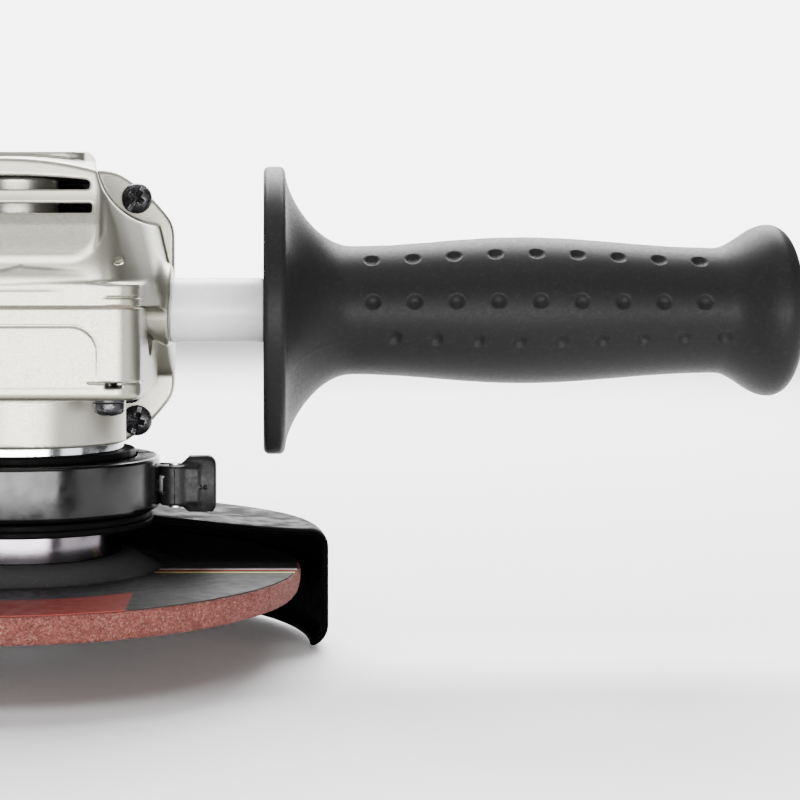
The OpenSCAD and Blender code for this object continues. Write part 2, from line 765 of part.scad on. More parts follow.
// The first span flares steeply into the flange, and the others ease from one turning point to the next
function grip_step(i, t) = i == 0 ? pow(sin(90 * t), 0.62) : ease(t);
function grip_span(i, steps) = [for (k = [0:steps - 1]) let (t = k / steps) [
  between(grip_turns[i][0], grip_turns[i + 1][0], t),
  between(grip_turns[i][1], grip_turns[i + 1][1], grip_step(i, t))
]];
function swap(list) = [for (p = list) [p[1], p[0]]];
module handle_grip() {
  rim = concat([[0, 0]], arc(grip_flange_r - 1, 1, 1, -90, 0, 3), [[grip_flange_r, 3.6]]);
  knob = concat(arc(16.6, grip_len - 4, 2.75, 10, 80, 4), [[0, grip_len]]);
  spans = concat(grip_span(0, 12), grip_span(1, 8), grip_span(2, 8), grip_span(3, 8));
  profile = concat(rim, swap(spans), knob);
  color(black) along_x(grip_x) difference() {
    rotate_extrude() polygon(profile);
    translate([0, 0, -cut]) cylinder(r = stud_r, h = nut_pocket_x + 2 * cut);
    translate([0, 0, nut_pocket_x]) cylinder(r = 7.6, h = 6.2, $fn = 6);
  }
}
module handle_sleeve() {
  color([0.9, 0.9, 0.92]) along_x(boss_face_x) ring(sleeve_r, stud_r + 0.1, grip_x - boss_face_x);
}
module handle_stud() {
  color(steel) {
    along_x(25.4) cylinder(r = stud_r, h = 60);
    along_x(grip_x + nut_pocket_x + 0.1) cylinder(r = 7.5, h = 6, $fn = 6);
  }
}

// ---- Guard ----
// Half of the guard's section: its rounded corner and the curl at its lower edge, sunk by inset
function guard_corner(inset) = arc(guard_r - 4, -53.6, 4 - inset, 90, 0, 6);
function guard_curl(inset) = arc(guard_r - 5, guard_bottom_z + 5, 5 - inset, 0, -70, 5);
function reversed(list) = [for (i = [len(list) - 1:-1:0]) list[i]];
module guard_shell() {
  step = [[collar_r, 0], [29.4, 0], [48.5, -2], [58, -2.8]];
  roof = [for (p = step) [p[0], guard_top_z + p[1]]];
  roof_under = [for (p = step) [p[0], guard_top_z - sheet + p[1]]];
  outside = concat(roof, guard_corner(0), guard_curl(0));
  inside = concat(roof_under, guard_corner(sheet), guard_curl(sheet));
  color(black) {
    rotate_extrude(angle = 180, $fn = 128) polygon(concat(outside, reversed(inside)));
    rotate([0, 0, 180]) rotate_extrude(angle = 180, $fn = 128) translate([collar_r, guard_top_z - sheet]) {
      square([29.2 - collar_r, sheet]);
    }
  }
}
module guard_collar() {
  color(black) difference() {
    union() {
      translate([0, 0, guard_top_z]) cylinder(r = collar_r, h = collar_top_z - guard_top_z);
      translate([0, 0, collar_top_z - 1.7]) cylinder(r = 25, h = 1.7);
      translate([0, 0, guard_top_z]) cylinder(r = 28.8, h = 1.4);
    }
    translate([0, 0, -50]) cylinder(r = neck_r + run_gap, h = 30);
  }
}
module clamp_band() {
  edge = 1.2;
  lip = 1.8;
  low_edge = arc(band_r - edge, band_bottom_z + edge, edge, -90, 0, 4);
  high_edge = arc(band_r - edge, band_top_z - edge, edge, 0, 90, 4);
  inner_side = [
    [collar_r + 1.2, band_top_z], [collar_r + 1.2, band_top_z - lip],
    [collar_r + 0.1, band_top_z - lip], [collar_r + 0.1, band_bottom_z]
  ];
  color(black) {
    rotate([0, 0, 18]) rotate_extrude(angle = 354) polygon(concat(low_edge, high_edge, inner_side));
    difference() {
      union() {
        translate([27.6, ear_y[0], ear_low_z]) cube([11, ear_t, ear_h]);
        translate([27, ear_y[1], ear_low_z]) cube([11.6, ear_t, ear_h]);
      }
      translate([lever_x, 0, bolt_z]) along_y(0) cylinder(r = bolt_r + 0.2, h = 20);
    }
  }
}
module clamp_bolt() {
  color(steel) difference() {
    union() {
      translate([lever_x, lever_y, bolt_z - 1.5]) cylinder(r = 2.9, h = 3);
      translate([lever_x, 0, bolt_z]) along_y(lever_y) cylinder(r = bolt_r, h = 14.4);
    }
    translate([lever_x, lever_y, bolt_z - 6]) cylinder(r = lever_pin_r, h = 12);
  }
}
module clamp_nut() {
  color(steel) translate([lever_x, 0, bolt_z]) along_y(ear_y[1] + ear_t) difference() {
    cylinder(r = 4, h = 3, $fn = 6);
    translate([0, 0, -cut]) cylinder(r = bolt_r, h = 6);
  }
}
module lever_pin() { color(steel) translate([lever_x, lever_y, -44.6]) cylinder(r = lever_pin_r, h = 10); }
module clamp_lever() {
  half_t = 2.1;
  barrel_low_z = -44.1;
  barrel_h = 9;
  front_y = lever_y - half_t;
  color(black) difference() {
    union() {
      translate([lever_x, lever_y, barrel_low_z]) cylinder(r = 3.3, h = barrel_h);
      translate([lever_x, front_y, barrel_low_z]) cube([5, 2 * half_t, barrel_h]);
      hull() {
        for (z = [-43.7, -34.7]) translate([41.7, 0, z]) along_y(front_y) {
          cylinder(r = 1.6, h = 2 * half_t, $fn = 32);
        }
        for (z = [-43.1, -36.1]) translate([38, 0, z]) along_y(front_y) {
          cylinder(r = 1, h = 2 * half_t, $fn = 32);
        }
      }
    }
    translate([lever_x, lever_y, -50]) cylinder(r = lever_pin_r + run_gap, h = 20);
    translate([lever_x, lever_y, -41.8]) cylinder(r = 3.4, h = 4.4);
  }
}

gear_housing();
gearbox_cover();
cover_gasket();
cover_screws();
cover_screw_washers();
housing_screws();
spindle();
bevel_gear();
gear_key();
spindle_bearing_outer();
spindle_bearing_inner();
spindle_bush();
bearing_retainer();
retainer_screws();
dust_ring();
inner_flange();
grinding_disc();
disc_bore_ring();
disc_label();
lock_nut();
lock_button();
lock_pin();
lock_spring();
armature_shaft();
armature_core();
armature_windings();
commutator();
cooling_fan();
bevel_pinion();
pinion_nut();
front_bearing_outer();
front_bearing_inner();
rear_bearing_outer();
rear_bearing_inner();
front_bearing_plate();
baffle_plate();
motor_housing();
stator_core();
field_coils();
stator_screws();
brush_holders();
carbon_brushes();
brush_springs();
switch_body();
switch_slider();
switch_rod();
rear_cover_left();
rear_cover_right();
rear_cover_screws();
cord_gland();
handle_grip();
handle_sleeve();
handle_stud();
guard_shell();
guard_collar();
clamp_band();
clamp_bolt();
clamp_nut();
lever_pin();
clamp_lever();
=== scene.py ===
"""Looks of the angle grinder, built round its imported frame.

Shapes are worked out in millimetres in the part's own frame: the spindle axis crosses the motor axis at the
origin, +X runs along the side handle, +Y back along the motor and +Z up the spindle.
"""

import functools
import json
import math

import bpy
import numpy as np
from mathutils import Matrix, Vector


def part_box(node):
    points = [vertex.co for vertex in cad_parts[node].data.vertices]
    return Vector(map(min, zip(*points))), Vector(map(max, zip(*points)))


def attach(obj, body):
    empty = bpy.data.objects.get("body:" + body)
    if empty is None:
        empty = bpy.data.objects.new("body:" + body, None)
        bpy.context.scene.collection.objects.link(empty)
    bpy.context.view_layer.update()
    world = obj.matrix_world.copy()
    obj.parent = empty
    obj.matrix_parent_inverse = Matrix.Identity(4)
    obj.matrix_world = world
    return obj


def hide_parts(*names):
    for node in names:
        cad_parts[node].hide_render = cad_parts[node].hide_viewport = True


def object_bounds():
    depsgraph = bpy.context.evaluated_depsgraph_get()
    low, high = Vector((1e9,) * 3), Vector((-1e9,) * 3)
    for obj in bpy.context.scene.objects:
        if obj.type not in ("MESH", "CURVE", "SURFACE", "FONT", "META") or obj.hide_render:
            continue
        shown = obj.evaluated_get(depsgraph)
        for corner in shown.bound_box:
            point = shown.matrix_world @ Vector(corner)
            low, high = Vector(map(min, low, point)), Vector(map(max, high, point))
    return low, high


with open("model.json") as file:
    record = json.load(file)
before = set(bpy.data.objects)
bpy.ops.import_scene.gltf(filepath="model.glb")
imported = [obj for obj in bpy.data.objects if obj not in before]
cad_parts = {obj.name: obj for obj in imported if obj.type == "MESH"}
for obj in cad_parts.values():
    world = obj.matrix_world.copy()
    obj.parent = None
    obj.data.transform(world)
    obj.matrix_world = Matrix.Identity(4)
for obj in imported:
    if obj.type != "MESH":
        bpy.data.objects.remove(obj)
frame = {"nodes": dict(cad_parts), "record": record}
cad_box = [list(corner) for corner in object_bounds()]
MM = 0.001
rng = np.random.default_rng(7)

# ---- Camera ----
CAMERA_AT = (55, -380, 2.3)
SENSOR = 36
FOCAL = 75.58


def add_camera():
    data = bpy.data.cameras.new("camera")
    data.sensor_width = SENSOR
    data.lens = FOCAL
    data.shift_x = 0.165
    data.shift_y = -0.125
    data.clip_start = 0.01
    camera = bpy.data.objects.new("camera", data)
    camera.location = [c * MM for c in CAMERA_AT]
    camera.rotation_euler = (math.radians(90), 0, 0)
    bpy.context.scene.collection.objects.link(camera)
    bpy.context.scene.camera = camera


add_camera()


# ---- Driving sizes, read from the frame where a node gives them ----
def span(node):
    low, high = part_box(node)
    return [c / MM for c in low], [c / MM for c in high]


HEAD_LOW, HEAD_HIGH = span("gear_housing")
COVER_LOW = span("gearbox_cover")[0]
MOTOR_LOW, MOTOR_HIGH = span("motor_housing")
TAIL_END = span("rear_cover_right")[1][1]
GRIP_LOW, GRIP_HIGH = span("handle_grip")
GUARD_LOW, GUARD_HIGH = span("guard_shell")
BAND_LOW = span("clamp_band")[0]
DISC_HIGH = span("grinding_disc")[1]
LEVER_LOW, LEVER_HIGH = span("clamp_lever")

HEAD_FRONT = HEAD_LOW[1]
FLANGE_Y = 29.5
FLANGE_END = HEAD_HIGH[1]
FLANGE_HALF = 32.1
PARTING = 1.0
PAINT_END = -29.6
NECK_R = 22.3
NECK_BORE_R = 12.5
BOSS_R = 10
BOSS_FACE = 33.1
SCREW_X, SCREW_Z = 23.1, 27
COVER_BOTTOM = -18.6
COVER_SCREW_X, COVER_SCREW_Y = 21.1, 22
LOCK_Y = -11.5
REAR_SCREWS = ((150, -17), (150, 10), (220, -17), (220, 17))
WALL = 2.4


# ---- Solids given by a field: negative inside, positive outside ----
def smooth_union(a, b, k):
    h = np.clip(0.5 + 0.5 * (b - a) / k, 0, 1)
    return b + (a - b) * h - k * h * (1 - h)


def smooth_both(a, b, k):
    return -smooth_union(-a, -b, k)


def smooth_cut(a, b, k):
    return -smooth_union(-a, b, k)


def all_of(*fields):
    return functools.reduce(np.maximum, fields)


def any_of(*fields):
    return functools.reduce(np.minimum, fields)


def between(v, low, high):
    return np.maximum(low - v, v - high)


def round_rect(u, v, half_u, half_v, r):
    du = np.abs(u) - half_u + r
    dv = np.abs(v) - half_v + r
    return np.minimum(np.maximum(du, dv), 0) + np.hypot(np.maximum(du, 0), np.maximum(dv, 0)) - r


def round_box(x, y, z, half, r):
    d = [np.abs(v) - h + r for v, h in zip((x, y, z), half)]
    outside = np.sqrt(sum(np.maximum(c, 0) ** 2 for c in d))
    return outside + np.minimum(np.maximum(np.maximum(d[0], d[1]), d[2]), 0) - r


def rod(u, v, r):
    return np.hypot(u, v) - r


def ticks(*stretches):
    """Grid places along one axis from (start, end, cell) stretches that follow each other."""
    places = [np.arange(round((end - start) / cell)) * cell + start for start, end, cell in stretches]
    return np.concatenate(places)


def even(low, high, cell):
    """The same cell along all three axes, with room round the solid."""
    return [ticks((a - 1.5 * cell, b + 2.5 * cell, cell)) for a, b in zip(low, high)]


def surface(field, axes):
    """Corners and four-sided faces of the field's zero surface, one corner to a crossed cell of the grid."""
    gx, gy, gz = np.meshgrid(*axes, indexing="ij", sparse=True)
    f = (field(gx, gy, gz) + 0 * (gx + gy + gz)).astype(np.float32)
    solid = f < 0
    cells = [n - 1 for n in f.shape]
    total = np.zeros((*cells, 3), np.float32)
    count = np.zeros(cells, np.uint8)
    crossings = []
    for axis in range(3):
        u, v = (axis + 1) % 3, (axis + 2) % 3
        near = [slice(None)] * 3
        far = [slice(None)] * 3
        near[axis], far[axis] = slice(0, -1), slice(1, None)
        a, b = f[tuple(near)], f[tuple(far)]
        crossed = solid[tuple(near)] != solid[tuple(far)]
        t = np.where(crossed, a / np.where(crossed, a - b, 1), 0)
        for du in (0, 1):
            for dv in (0, 1):
                part = [slice(None)] * 3
                part[u] = slice(du, du + cells[u])
                part[v] = slice(dv, dv + cells[v])
                hit = crossed[tuple(part)]
                count += hit
                total[..., axis] += t[tuple(part)]
                total[..., u] += du * hit
                total[..., v] += dv * hit
        crossings.append((axis, u, v, crossed))
    active = count > 0
    ids = np.full(cells, -1, np.int64)
    ids[active] = np.arange(active.sum())
    where = np.argwhere(active)
    share = total[active] / count[active][:, None]
    points = np.empty(share.shape)
    for axis in range(3):
        i = where[:, axis]
        points[:, axis] = axes[axis][i] + share[:, axis] * np.diff(axes[axis])[i]
    quads = []
    for axis, u, v, crossed in crossings:
        edge = np.argwhere(crossed)
        keep = (edge[:, u] > 0) & (edge[:, u] < cells[u]) & (edge[:, v] > 0) & (edge[:, v] < cells[v])
        edge = edge[keep]
        ring = []
        for du, dv in ((-1, -1), (0, -1), (0, 0), (-1, 0)):
            c = edge.copy()
            c[:, u] += du
            c[:, v] += dv
            ring.append(ids[c[:, 0], c[:, 1], c[:, 2]])
        ring = np.stack(ring, 1)
        outward = solid[edge[:, 0], edge[:, 1], edge[:, 2]]
        ring[~outward] = ring[~outward][:, ::-1]
        quads.append(ring)
    return settle(field, points, min(np.diff(a).min() for a in axes)), np.concatenate(quads)


def settle(field, points, cell):
    """Moves each corner onto the zero surface, so that curved faces come out true."""
    step = 0.15 * cell
    for _ in range(4):
        x, y, z = points.T
        value = field(x, y, z)
        slope = np.stack([
            field(x + step, y, z) - field(x - step, y, z),
            field(x, y + step, z) - field(x, y - step, z),
            field(x, y, z + step) - field(x, y, z - step)], 1) / (2 * step)
        size = np.maximum((slope ** 2).sum(1), 0.04)
        move = -(value / size)[:, None] * slope
        points = points + np.clip(move, -0.5 * cell, 0.5 * cell)
    return points


# ---- Meshes ----
def add_piece(name, shape, body, node, slot, material=None):
    """A piece from (points in millimetres, faces). It rides on body and stands for the CAD node, if one is
    given. It wears the finish of its slot, if no other material is given."""
    points, faces = shape
    mesh = bpy.data.meshes.new(name)
    mesh.from_pydata((np.asarray(points, float) * MM).tolist(), [], [list(map(int, f)) for f in faces])
    mesh.update()
    mesh.materials.append(material or FINISHES[slot])
    mesh.shade_smooth()
    piece = bpy.data.objects.new(name, mesh)
    bpy.context.scene.collection.objects.link(piece)
    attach(piece, body)
    if node:
        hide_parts(node)
    return piece


def joined(parts):
    """Points and faces of several shapes as those of one."""
    points, faces = [], []
    for some_points, some_faces in parts:
        faces += [[i + len(points) for i in face] for face in some_faces]
        points += list(some_points)
    return points, faces


def arc(cu, cv, r, start, end, steps):
    return [(cu + r * math.cos(math.radians(start + (end - start) * i / steps)),
             cv + r * math.sin(math.radians(start + (end - start) * i / steps))) for i in range(steps + 1)]


def rounded(corners, steps=4):
    """An outline from (u, v, radius) corners, with each corner rounded to its radius."""
    out = []
    for i, (u, v, r) in enumerate(corners):
        here = np.array((u, v), float)
        if r <= 0:
            out.append(tuple(here))
            continue
        back = np.array(corners[i - 1][:2], float) - here
        ahead = np.array(corners[(i + 1) % len(corners)][:2], float) - here
        reach = min(np.linalg.norm(back), np.linalg.norm(ahead)) * 0.49
        back /= np.linalg.norm(back)
        ahead /= np.linalg.norm(ahead)
        half = math.acos(np.clip(back @ ahead, -1, 1)) / 2
        cut = min(r / max(math.tan(half), 1e-6), reach)
        a, b = here + back * cut, here + ahead * cut
        for k in range(steps + 1):
            t = k / steps
            out.append(tuple((1 - t) ** 2 * a + 2 * t * (1 - t) * here + t * t * b))
    return out


def skin(rings, n, closed):
    """Four-sided faces between neighbouring rings of n points each."""
    quads = []
    for i in range(rings if closed else rings - 1):
        a, b = i * n, (i + 1) % rings * n
        quads += [(a + k, b + k, b + (k + 1) % n, a + (k + 1) % n) for k in range(n)]
    return quads


def lathe(outline, steps, axis="z", start=0, sweep=360):
    """Revolves a closed outline of (radius, height) about an axis, as points and faces."""
    outline = np.asarray(outline, float)
    whole = sweep == 360
    rings = steps if whole else steps + 1
    angle = np.radians(start + sweep * np.arange(rings) / steps)[:, None]
    r, h = outline[:, 0][None], outline[:, 1][None]
    points = np.stack([r * np.cos(angle), r * np.sin(angle), h + 0 * angle], 2).reshape(-1, 3)
    n = len(outline)
    faces = skin(rings, n, whole)
    if not whole:
        faces.append(tuple(range(n)))
        faces.append(tuple(range((rings - 1) * n + n - 1, (rings - 1) * n - 1, -1)))
    if axis == "x":
        points = points[:, [2, 0, 1]]
    if axis == "y":
        points = points[:, [1, 2, 0]]
    area = sum(outline[k - 1][0] * outline[k][1] - outline[k][0] * outline[k - 1][1] for k in range(n))
    if area < 0:
        faces = [f[::-1] for f in faces]
    return points, faces


# ---- Materials ----
def graded(tree, value, low, high, dark, light):
    """A node output that rises smoothly from dark to light as value rises from low to high."""
    made = tree.nodes.new("ShaderNodeMapRange")
    made.interpolation_type = "SMOOTHSTEP"
    for key, number in (("From Min", low), ("From Max", high), ("To Min", dark), ("To Max", light)):
        made.inputs[key].default_value = number
    tree.links.new(value, made.inputs["Value"])
    return made.outputs["Result"]


class Finish:
    """A procedural material: a Principled shader with its nodes laid out by the calls below."""

    def __init__(self, name, colour, rough, metal=0.0, **sockets):
        self.material = bpy.data.materials.new(name)
        self.material.use_nodes = True
        self.material.diffuse_color = (*colour, 1)
        self.tree = self.material.node_tree
        self.shader = self.tree.nodes["Principled BSDF"]
        self.shader.inputs["Base Color"].default_value = (*colour, 1)
        self.shader.inputs["Roughness"].default_value = rough
        self.shader.inputs["Metallic"].default_value = metal
        for key, value in sockets.items():
            self.shader.inputs[key.replace("_", " ")].default_value = value
        coordinates = self.tree.nodes.new("ShaderNodeTexCoord")
        self.place = coordinates.outputs["Object"]
        self.height = None

    def node(self, kind, **settings):
        made = self.tree.nodes.new("ShaderNode" + kind)
        for key, value in settings.items():
            setattr(made, key, value)
        return made

    def link(self, a, b):
        self.tree.links.new(a, b)

    def scaled(self, kind, size, stretch=(1, 1, 1)):
        """A texture whose features are about size millimetres across, times stretch along each axis."""
        mapping = self.node("Mapping")
        mapping.inputs["Scale"].default_value = [1 / (size * MM * s) for s in stretch]
        self.link(self.place, mapping.inputs["Vector"])
        made = self.node(kind)
        made.inputs["Scale"].default_value = 1
        self.link(mapping.outputs["Vector"], made.inputs["Vector"])
        return made

    def noise(self, size, detail=3.0, stretch=(1, 1, 1), roughness=0.55):
        made = self.scaled("TexNoise", size, stretch)
        made.inputs["Detail"].default_value = detail
        made.inputs["Roughness"].default_value = roughness
        return made.outputs["Fac"]

    def cells(self, size):
        """Cells about size millimetres across, each with a colour of its own."""
        return self.scaled("TexVoronoi", size)

    def ramp(self, value, low, high, out_low=0.0, out_high=1.0):
        return graded(self.tree, value, low, high, out_low, out_high)

    def math(self, operation, a, b=None):
        made = self.node("Math", operation=operation)
        for socket, value in zip(made.inputs, (a, b)):
            if isinstance(value, (int, float)):
                socket.default_value = value
            elif value is not None:
                self.link(value, socket)
        return made.outputs[0]

    def axis(self, letter):
        made = self.node("SeparateXYZ")
        self.link(self.place, made.inputs[0])
        return made.outputs[letter]

    def tint(self, colour, share):
        """Mixes colour over the base colour where share is high."""
        base = self.shader.inputs["Base Color"]
        mix = self.node("Mix", data_type="RGBA")
        if base.links:
            self.link(base.links[0].from_socket, mix.inputs["A"])
        else:
            mix.inputs["A"].default_value = base.default_value
        mix.inputs["B"].default_value = (*colour, 1)
        self.link(share, mix.inputs["Factor"])
        self.link(mix.outputs["Result"], base)

    def roughness(self, value, low, high):
        self.link(self.ramp(value, 0.3, 0.7, low, high), self.shader.inputs["Roughness"])

    def bump(self, value, depth, strength=1.0):
        """Raises the surface by up to depth millimetres where value is high."""
        made = self.node("Bump")
        made.inputs["Distance"].default_value = depth * MM
        made.inputs["Strength"].default_value = strength
        self.link(value, made.inputs["Height"])
        if self.height:
            self.link(self.height, made.inputs["Normal"])
        self.height = made.outputs["Normal"]
        self.link(self.height, self.shader.inputs["Normal"])


def paint_finish():
    f = Finish("champagne_paint", (0.325, 0.318, 0.268), 0.35, 0.86)
    flake = f.cells(0.28)
    f.tint((0.39, 0.382, 0.335), f.ramp(flake.outputs["Distance"], 0.55, 0.05, 0, 0.5))
    f.tint((0.27, 0.264, 0.225), f.ramp(f.noise(0.5, 4), 0.55, 0.75, 0, 0.5))
    f.roughness(f.noise(0.4, 4), 0.32, 0.40)
    f.bump(f.noise(0.45, 4), 0.016, 0.4)
    f.bump(f.noise(7, 2), 0.04, 0.15)
    return f.material


def steel_finish(name, colour, rough, lines=(1, 1, 0.02)):
    """Turned or ground steel: fine lines run round or along the piece."""
    f = Finish(name, colour, rough, 1.0)
    streak = f.noise(1.2, 4, lines)
    f.roughness(streak, rough * 0.75, rough * 1.35)
    f.tint([c * 0.72 for c in colour], f.ramp(f.noise(6, 3), 0.45, 0.8, 0, 0.5))
    f.bump(streak, 0.01, 0.3)
    return f.material


def gloss_black_finish(name, specular, rough):
    f = Finish(name, (0.002, 0.002, 0.0022), rough, 0.0, Specular_IOR_Level=specular)
    f.tint((0.012, 0.012, 0.013), f.ramp(f.cells(0.9).outputs["Distance"], 0.16, 0.05, 0, 1))
    f.roughness(f.noise(5, 4), rough * 0.7, rough * 1.3)
    f.bump(f.noise(2.4, 2), 0.05, 0.056 / rough)
    f.bump(f.noise(22, 2), 0.3, 0.12)
    return f.material


def satin_black_finish():
    f = Finish("die_cast_black", (0.006, 0.006, 0.0065), 0.34, 0.0, Specular_IOR_Level=0.13)
    f.tint((0.022, 0.022, 0.023), f.ramp(f.noise(0.5, 4), 0.55, 0.75))
    f.roughness(f.noise(1.5, 4), 0.30, 0.46)
    f.bump(f.noise(0.7, 4), 0.05, 0.35)
    return f.material


def screw_finish():
    f = Finish("black_oxide", (0.035, 0.035, 0.038), 0.26, 0.75)
    f.tint((0.16, 0.15, 0.145), f.ramp(f.noise(0.9, 4), 0.56, 0.70))
    f.roughness(f.noise(0.7, 4), 0.18, 0.42)
    f.bump(f.noise(0.35, 3), 0.02, 0.5)
    return f.material


def abrasive_finish():
    """Bonded grit: brown-red grains of two sizes with pale crystals and dark pores."""
    f = Finish("abrasive", (0.125, 0.034, 0.027), 0.75, 0.0, Specular_IOR_Level=0.25)
    grain = f.cells(0.34)
    value = f.node("SeparateColor")
    f.link(grain.outputs["Color"], value.inputs[0])
    f.tint((0.19, 0.062, 0.049), f.ramp(value.outputs[0], 0.45, 0.8, 0, 0.8))
    f.tint((0.062, 0.017, 0.014), f.ramp(value.outputs[2], 0.68, 0.9, 0, 0.8))
    f.tint((0.28, 0.155, 0.13), f.ramp(value.outputs[1], 0.90, 0.97, 0, 0.5))
    f.tint((0.075, 0.02, 0.016), f.ramp(f.noise(2.6, 4), 0.50, 0.68, 0, 0.6))
    f.tint((0.03, 0.009, 0.008), f.ramp(f.noise(0.4, 3), 0.60, 0.70, 0, 0.85))
    f.bump(grain.outputs["Distance"], -0.30, 0.9)
    f.bump(f.noise(0.3, 3), 0.10, 0.8)
    return f.material


def label_finish():
    """Printed paper over the abrasive: plain panels and one striped line, with no lettering."""
    f = Finish("label_paper", (0.024, 0.023, 0.023), 0.5, 0.0, Specular_IOR_Level=0.12)
    across, along = f.axis("X"), f.axis("Y")
    far = f.math("SQRT", f.math("ADD", f.math("MULTIPLY", across, across), f.math("MULTIPLY", along, along)))

    def above(value, limit):
        return f.math("GREATER_THAN", value, limit * MM)

    def below(value, limit):
        return f.math("LESS_THAN", value, limit * MM)

    def where(*tests):
        return functools.reduce(lambda a, b: f.math("MULTIPLY", a, b), tests)

    f.tint((0.028, 0.027, 0.027), f.ramp(f.noise(9, 3), 0.45, 0.75, 0, 0.2))
    # a red panel and a dark bar in front of the spindle
    front = below(along, -20)
    f.tint((0.17, 0.032, 0.026), where(front, below(across, 27.4), above(far, 45)))
    f.tint((0.030, 0.031, 0.036), where(front, above(far, 39.8), below(far, 44.6), below(across, 21.3)))
    # thin parallel lines along +X: pale, red, dark and yellow
    right = above(across, 30)
    lines = ((-6.6, -5.4, (0.50, 0.48, 0.48)), (-8.3, -6.6, (0.22, 0.02, 0.02)),
             (-9.6, -8.3, (0.012, 0.012, 0.02)), (-11.0, -9.6, (0.50, 0.42, 0.14)))
    for low, high, colour in lines:
        f.tint(colour, where(above(along, low), below(along, high), right))
    f.tint((0.26, 0.14, 0.12), f.ramp(f.noise(0.5, 5, roughness=0.7), 0.70, 0.76))
    f.roughness(f.noise(3, 4), 0.44, 0.6)
    f.bump(f.noise(0.55, 4), 0.06, 0.4)
    return f.material


def hub_finish():
    """The disc's raised middle: dark charcoal paper with a few pale scratches."""
    f = Finish("disc_hub_paper", (0.031, 0.030, 0.031), 0.55, 0.0, Specular_IOR_Level=0.2)
    f.tint((0.052, 0.050, 0.051), f.ramp(f.noise(0.4, 4), 0.56, 0.74))
    f.tint((0.36, 0.19, 0.13), f.ramp(f.noise(1.6, 5, (0.25, 3.2, 1), 0.75), 0.66, 0.72))
    f.bump(f.noise(0.4, 3), 0.06, 0.5)
    return f.material


def moulded_finish(name, colour, rough, grain, depth=0.05, pale=1.9, specular=0.09):
    """Moulded plastic with a spark-eroded grain."""
    f = Finish(name, colour, rough, 0.0, Specular_IOR_Level=specular)
    f.tint([c * pale for c in colour], f.ramp(f.noise(grain * 2.2, 4), 0.5, 0.8, 0, 0.55))
    f.roughness(f.noise(grain * 1.5, 4), rough * 0.86, rough * 1.14)
    f.bump(f.noise(grain, 4), depth, 0.45)
    f.bump(f.noise(12, 2), 0.12, 0.12)
    return f.material


def wound_finish(name, colour, rough, metal, wire, direction):
    """Wound copper wire or stacked sheet: fine parallel ridges, direction is the axis they repeat along."""
    f = Finish(name, colour, rough, metal)
    wave = f.node("TexWave", bands_direction=direction)
    wave.inputs["Scale"].default_value = 0.314 / (wire * MM) / 10
    wave.inputs["Distortion"].default_value = 0.6
    f.link(f.place, wave.inputs["Vector"])
    # darker in the troughs between the ridges: painted shade in the grooves
    f.tint([c * 0.35 for c in colour], f.ramp(wave.outputs["Fac"], 0.45, 0.1, 0, 0.8))
    f.roughness(f.noise(2, 3), rough * 0.8, rough * 1.3)
    f.bump(wave.outputs["Fac"], wire * 0.4, 0.5)
    return f.material


def paper_finish():
    f = Finish("gasket_paper", (0.16, 0.13, 0.10), 0.85, 0.0)
    f.tint((0.24, 0.20, 0.15), f.ramp(f.noise(0.5, 5), 0.45, 0.7))
    f.bump(f.noise(0.4, 4), 0.04, 0.5)
    return f.material


def sleeve_finish():
    f = Finish("sleeve_white", (0.72, 0.72, 0.75), 0.42, 0.0, Coat_Weight=0.25, Coat_Roughness=0.25)
    f.tint((0.60, 0.60, 0.63), f.ramp(f.noise(4, 4), 0.5, 0.75, 0, 0.4))
    f.roughness(f.noise(1.4, 4), 0.36, 0.5)
    f.bump(f.noise(0.6, 3), 0.02, 0.4)
    return f.material


FINISHES = {
    "champagne_paint": paint_finish(),
    "bright_steel": steel_finish("bright_steel", (0.66, 0.66, 0.68), 0.20),
    "dark_steel": steel_finish("dark_steel", (0.15, 0.135, 0.15), 0.15),
    "zinc_steel": steel_finish("zinc_steel", (0.55, 0.55, 0.53), 0.34),
    "black_oxide": screw_finish(),
    "gloss_black_sheet": gloss_black_finish("gloss_black_sheet", 0.32, 0.2),
    "die_cast_black": satin_black_finish(),
    "abrasive": abrasive_finish(),
    "label_paper": label_finish(),
    "grip_black": moulded_finish("grip_black", (0.0092, 0.0088, 0.0092), 0.44, 0.42, 0.045, specular=0.08),
    "body_plastic": moulded_finish("body_plastic", (0.022, 0.024, 0.028), 0.50, 0.55, 0.06, 1.5),
    "trim_black": moulded_finish("trim_black", (0.012, 0.012, 0.013), 0.42, 0.5),
    "gland_rubber": moulded_finish("gland_rubber", (0.014, 0.014, 0.014), 0.68, 0.6, 0.05),
    "sleeve_white": sleeve_finish(),
    "copper": wound_finish("copper", (0.62, 0.26, 0.11), 0.30, 0.9, 0.5, "Z"),
    "lamination": wound_finish("lamination", (0.24, 0.24, 0.26), 0.45, 0.9, 0.6, "Y"),
    "brass": steel_finish("brass", (0.68, 0.50, 0.20), 0.30),
    "carbon": moulded_finish("carbon", (0.03, 0.03, 0.032), 0.6, 0.5),
    "gasket_paper": paper_finish(),
}
NECK_STEEL = steel_finish("machined_steel", (0.60, 0.61, 0.64), 0.12, (1, 1, 0.05))
# near-black material laid on the air chamber's inside as painted shade
CHAMBER_SHADE_PAINT = moulded_finish("painted_shade_inside", (0.01, 0.01, 0.01), 0.7, 0.6)
ROOF = gloss_black_finish("satin_black_sheet", 0.02, 0.5)
HUB = hub_finish()


def dress_frame():
    """Every CAD node takes the material of its slot in the record."""
    for row in frame["record"]["subparts"]:
        node = frame["nodes"][row["node"]]
        node.data.materials.clear()
        node.data.materials.append(FINISHES[row["material_slot"]])


dress_frame()


# ---- Gear head ----
def eased(value, places, heights, width):
    """Straight runs between the given heights, with every bend rounded over about width."""
    shifts = np.array((-0.5, -0.3, -0.1, 0.1, 0.3, 0.5)) * width
    return sum(np.interp(value + shift, places, heights) for shift in shifts) / len(shifts)


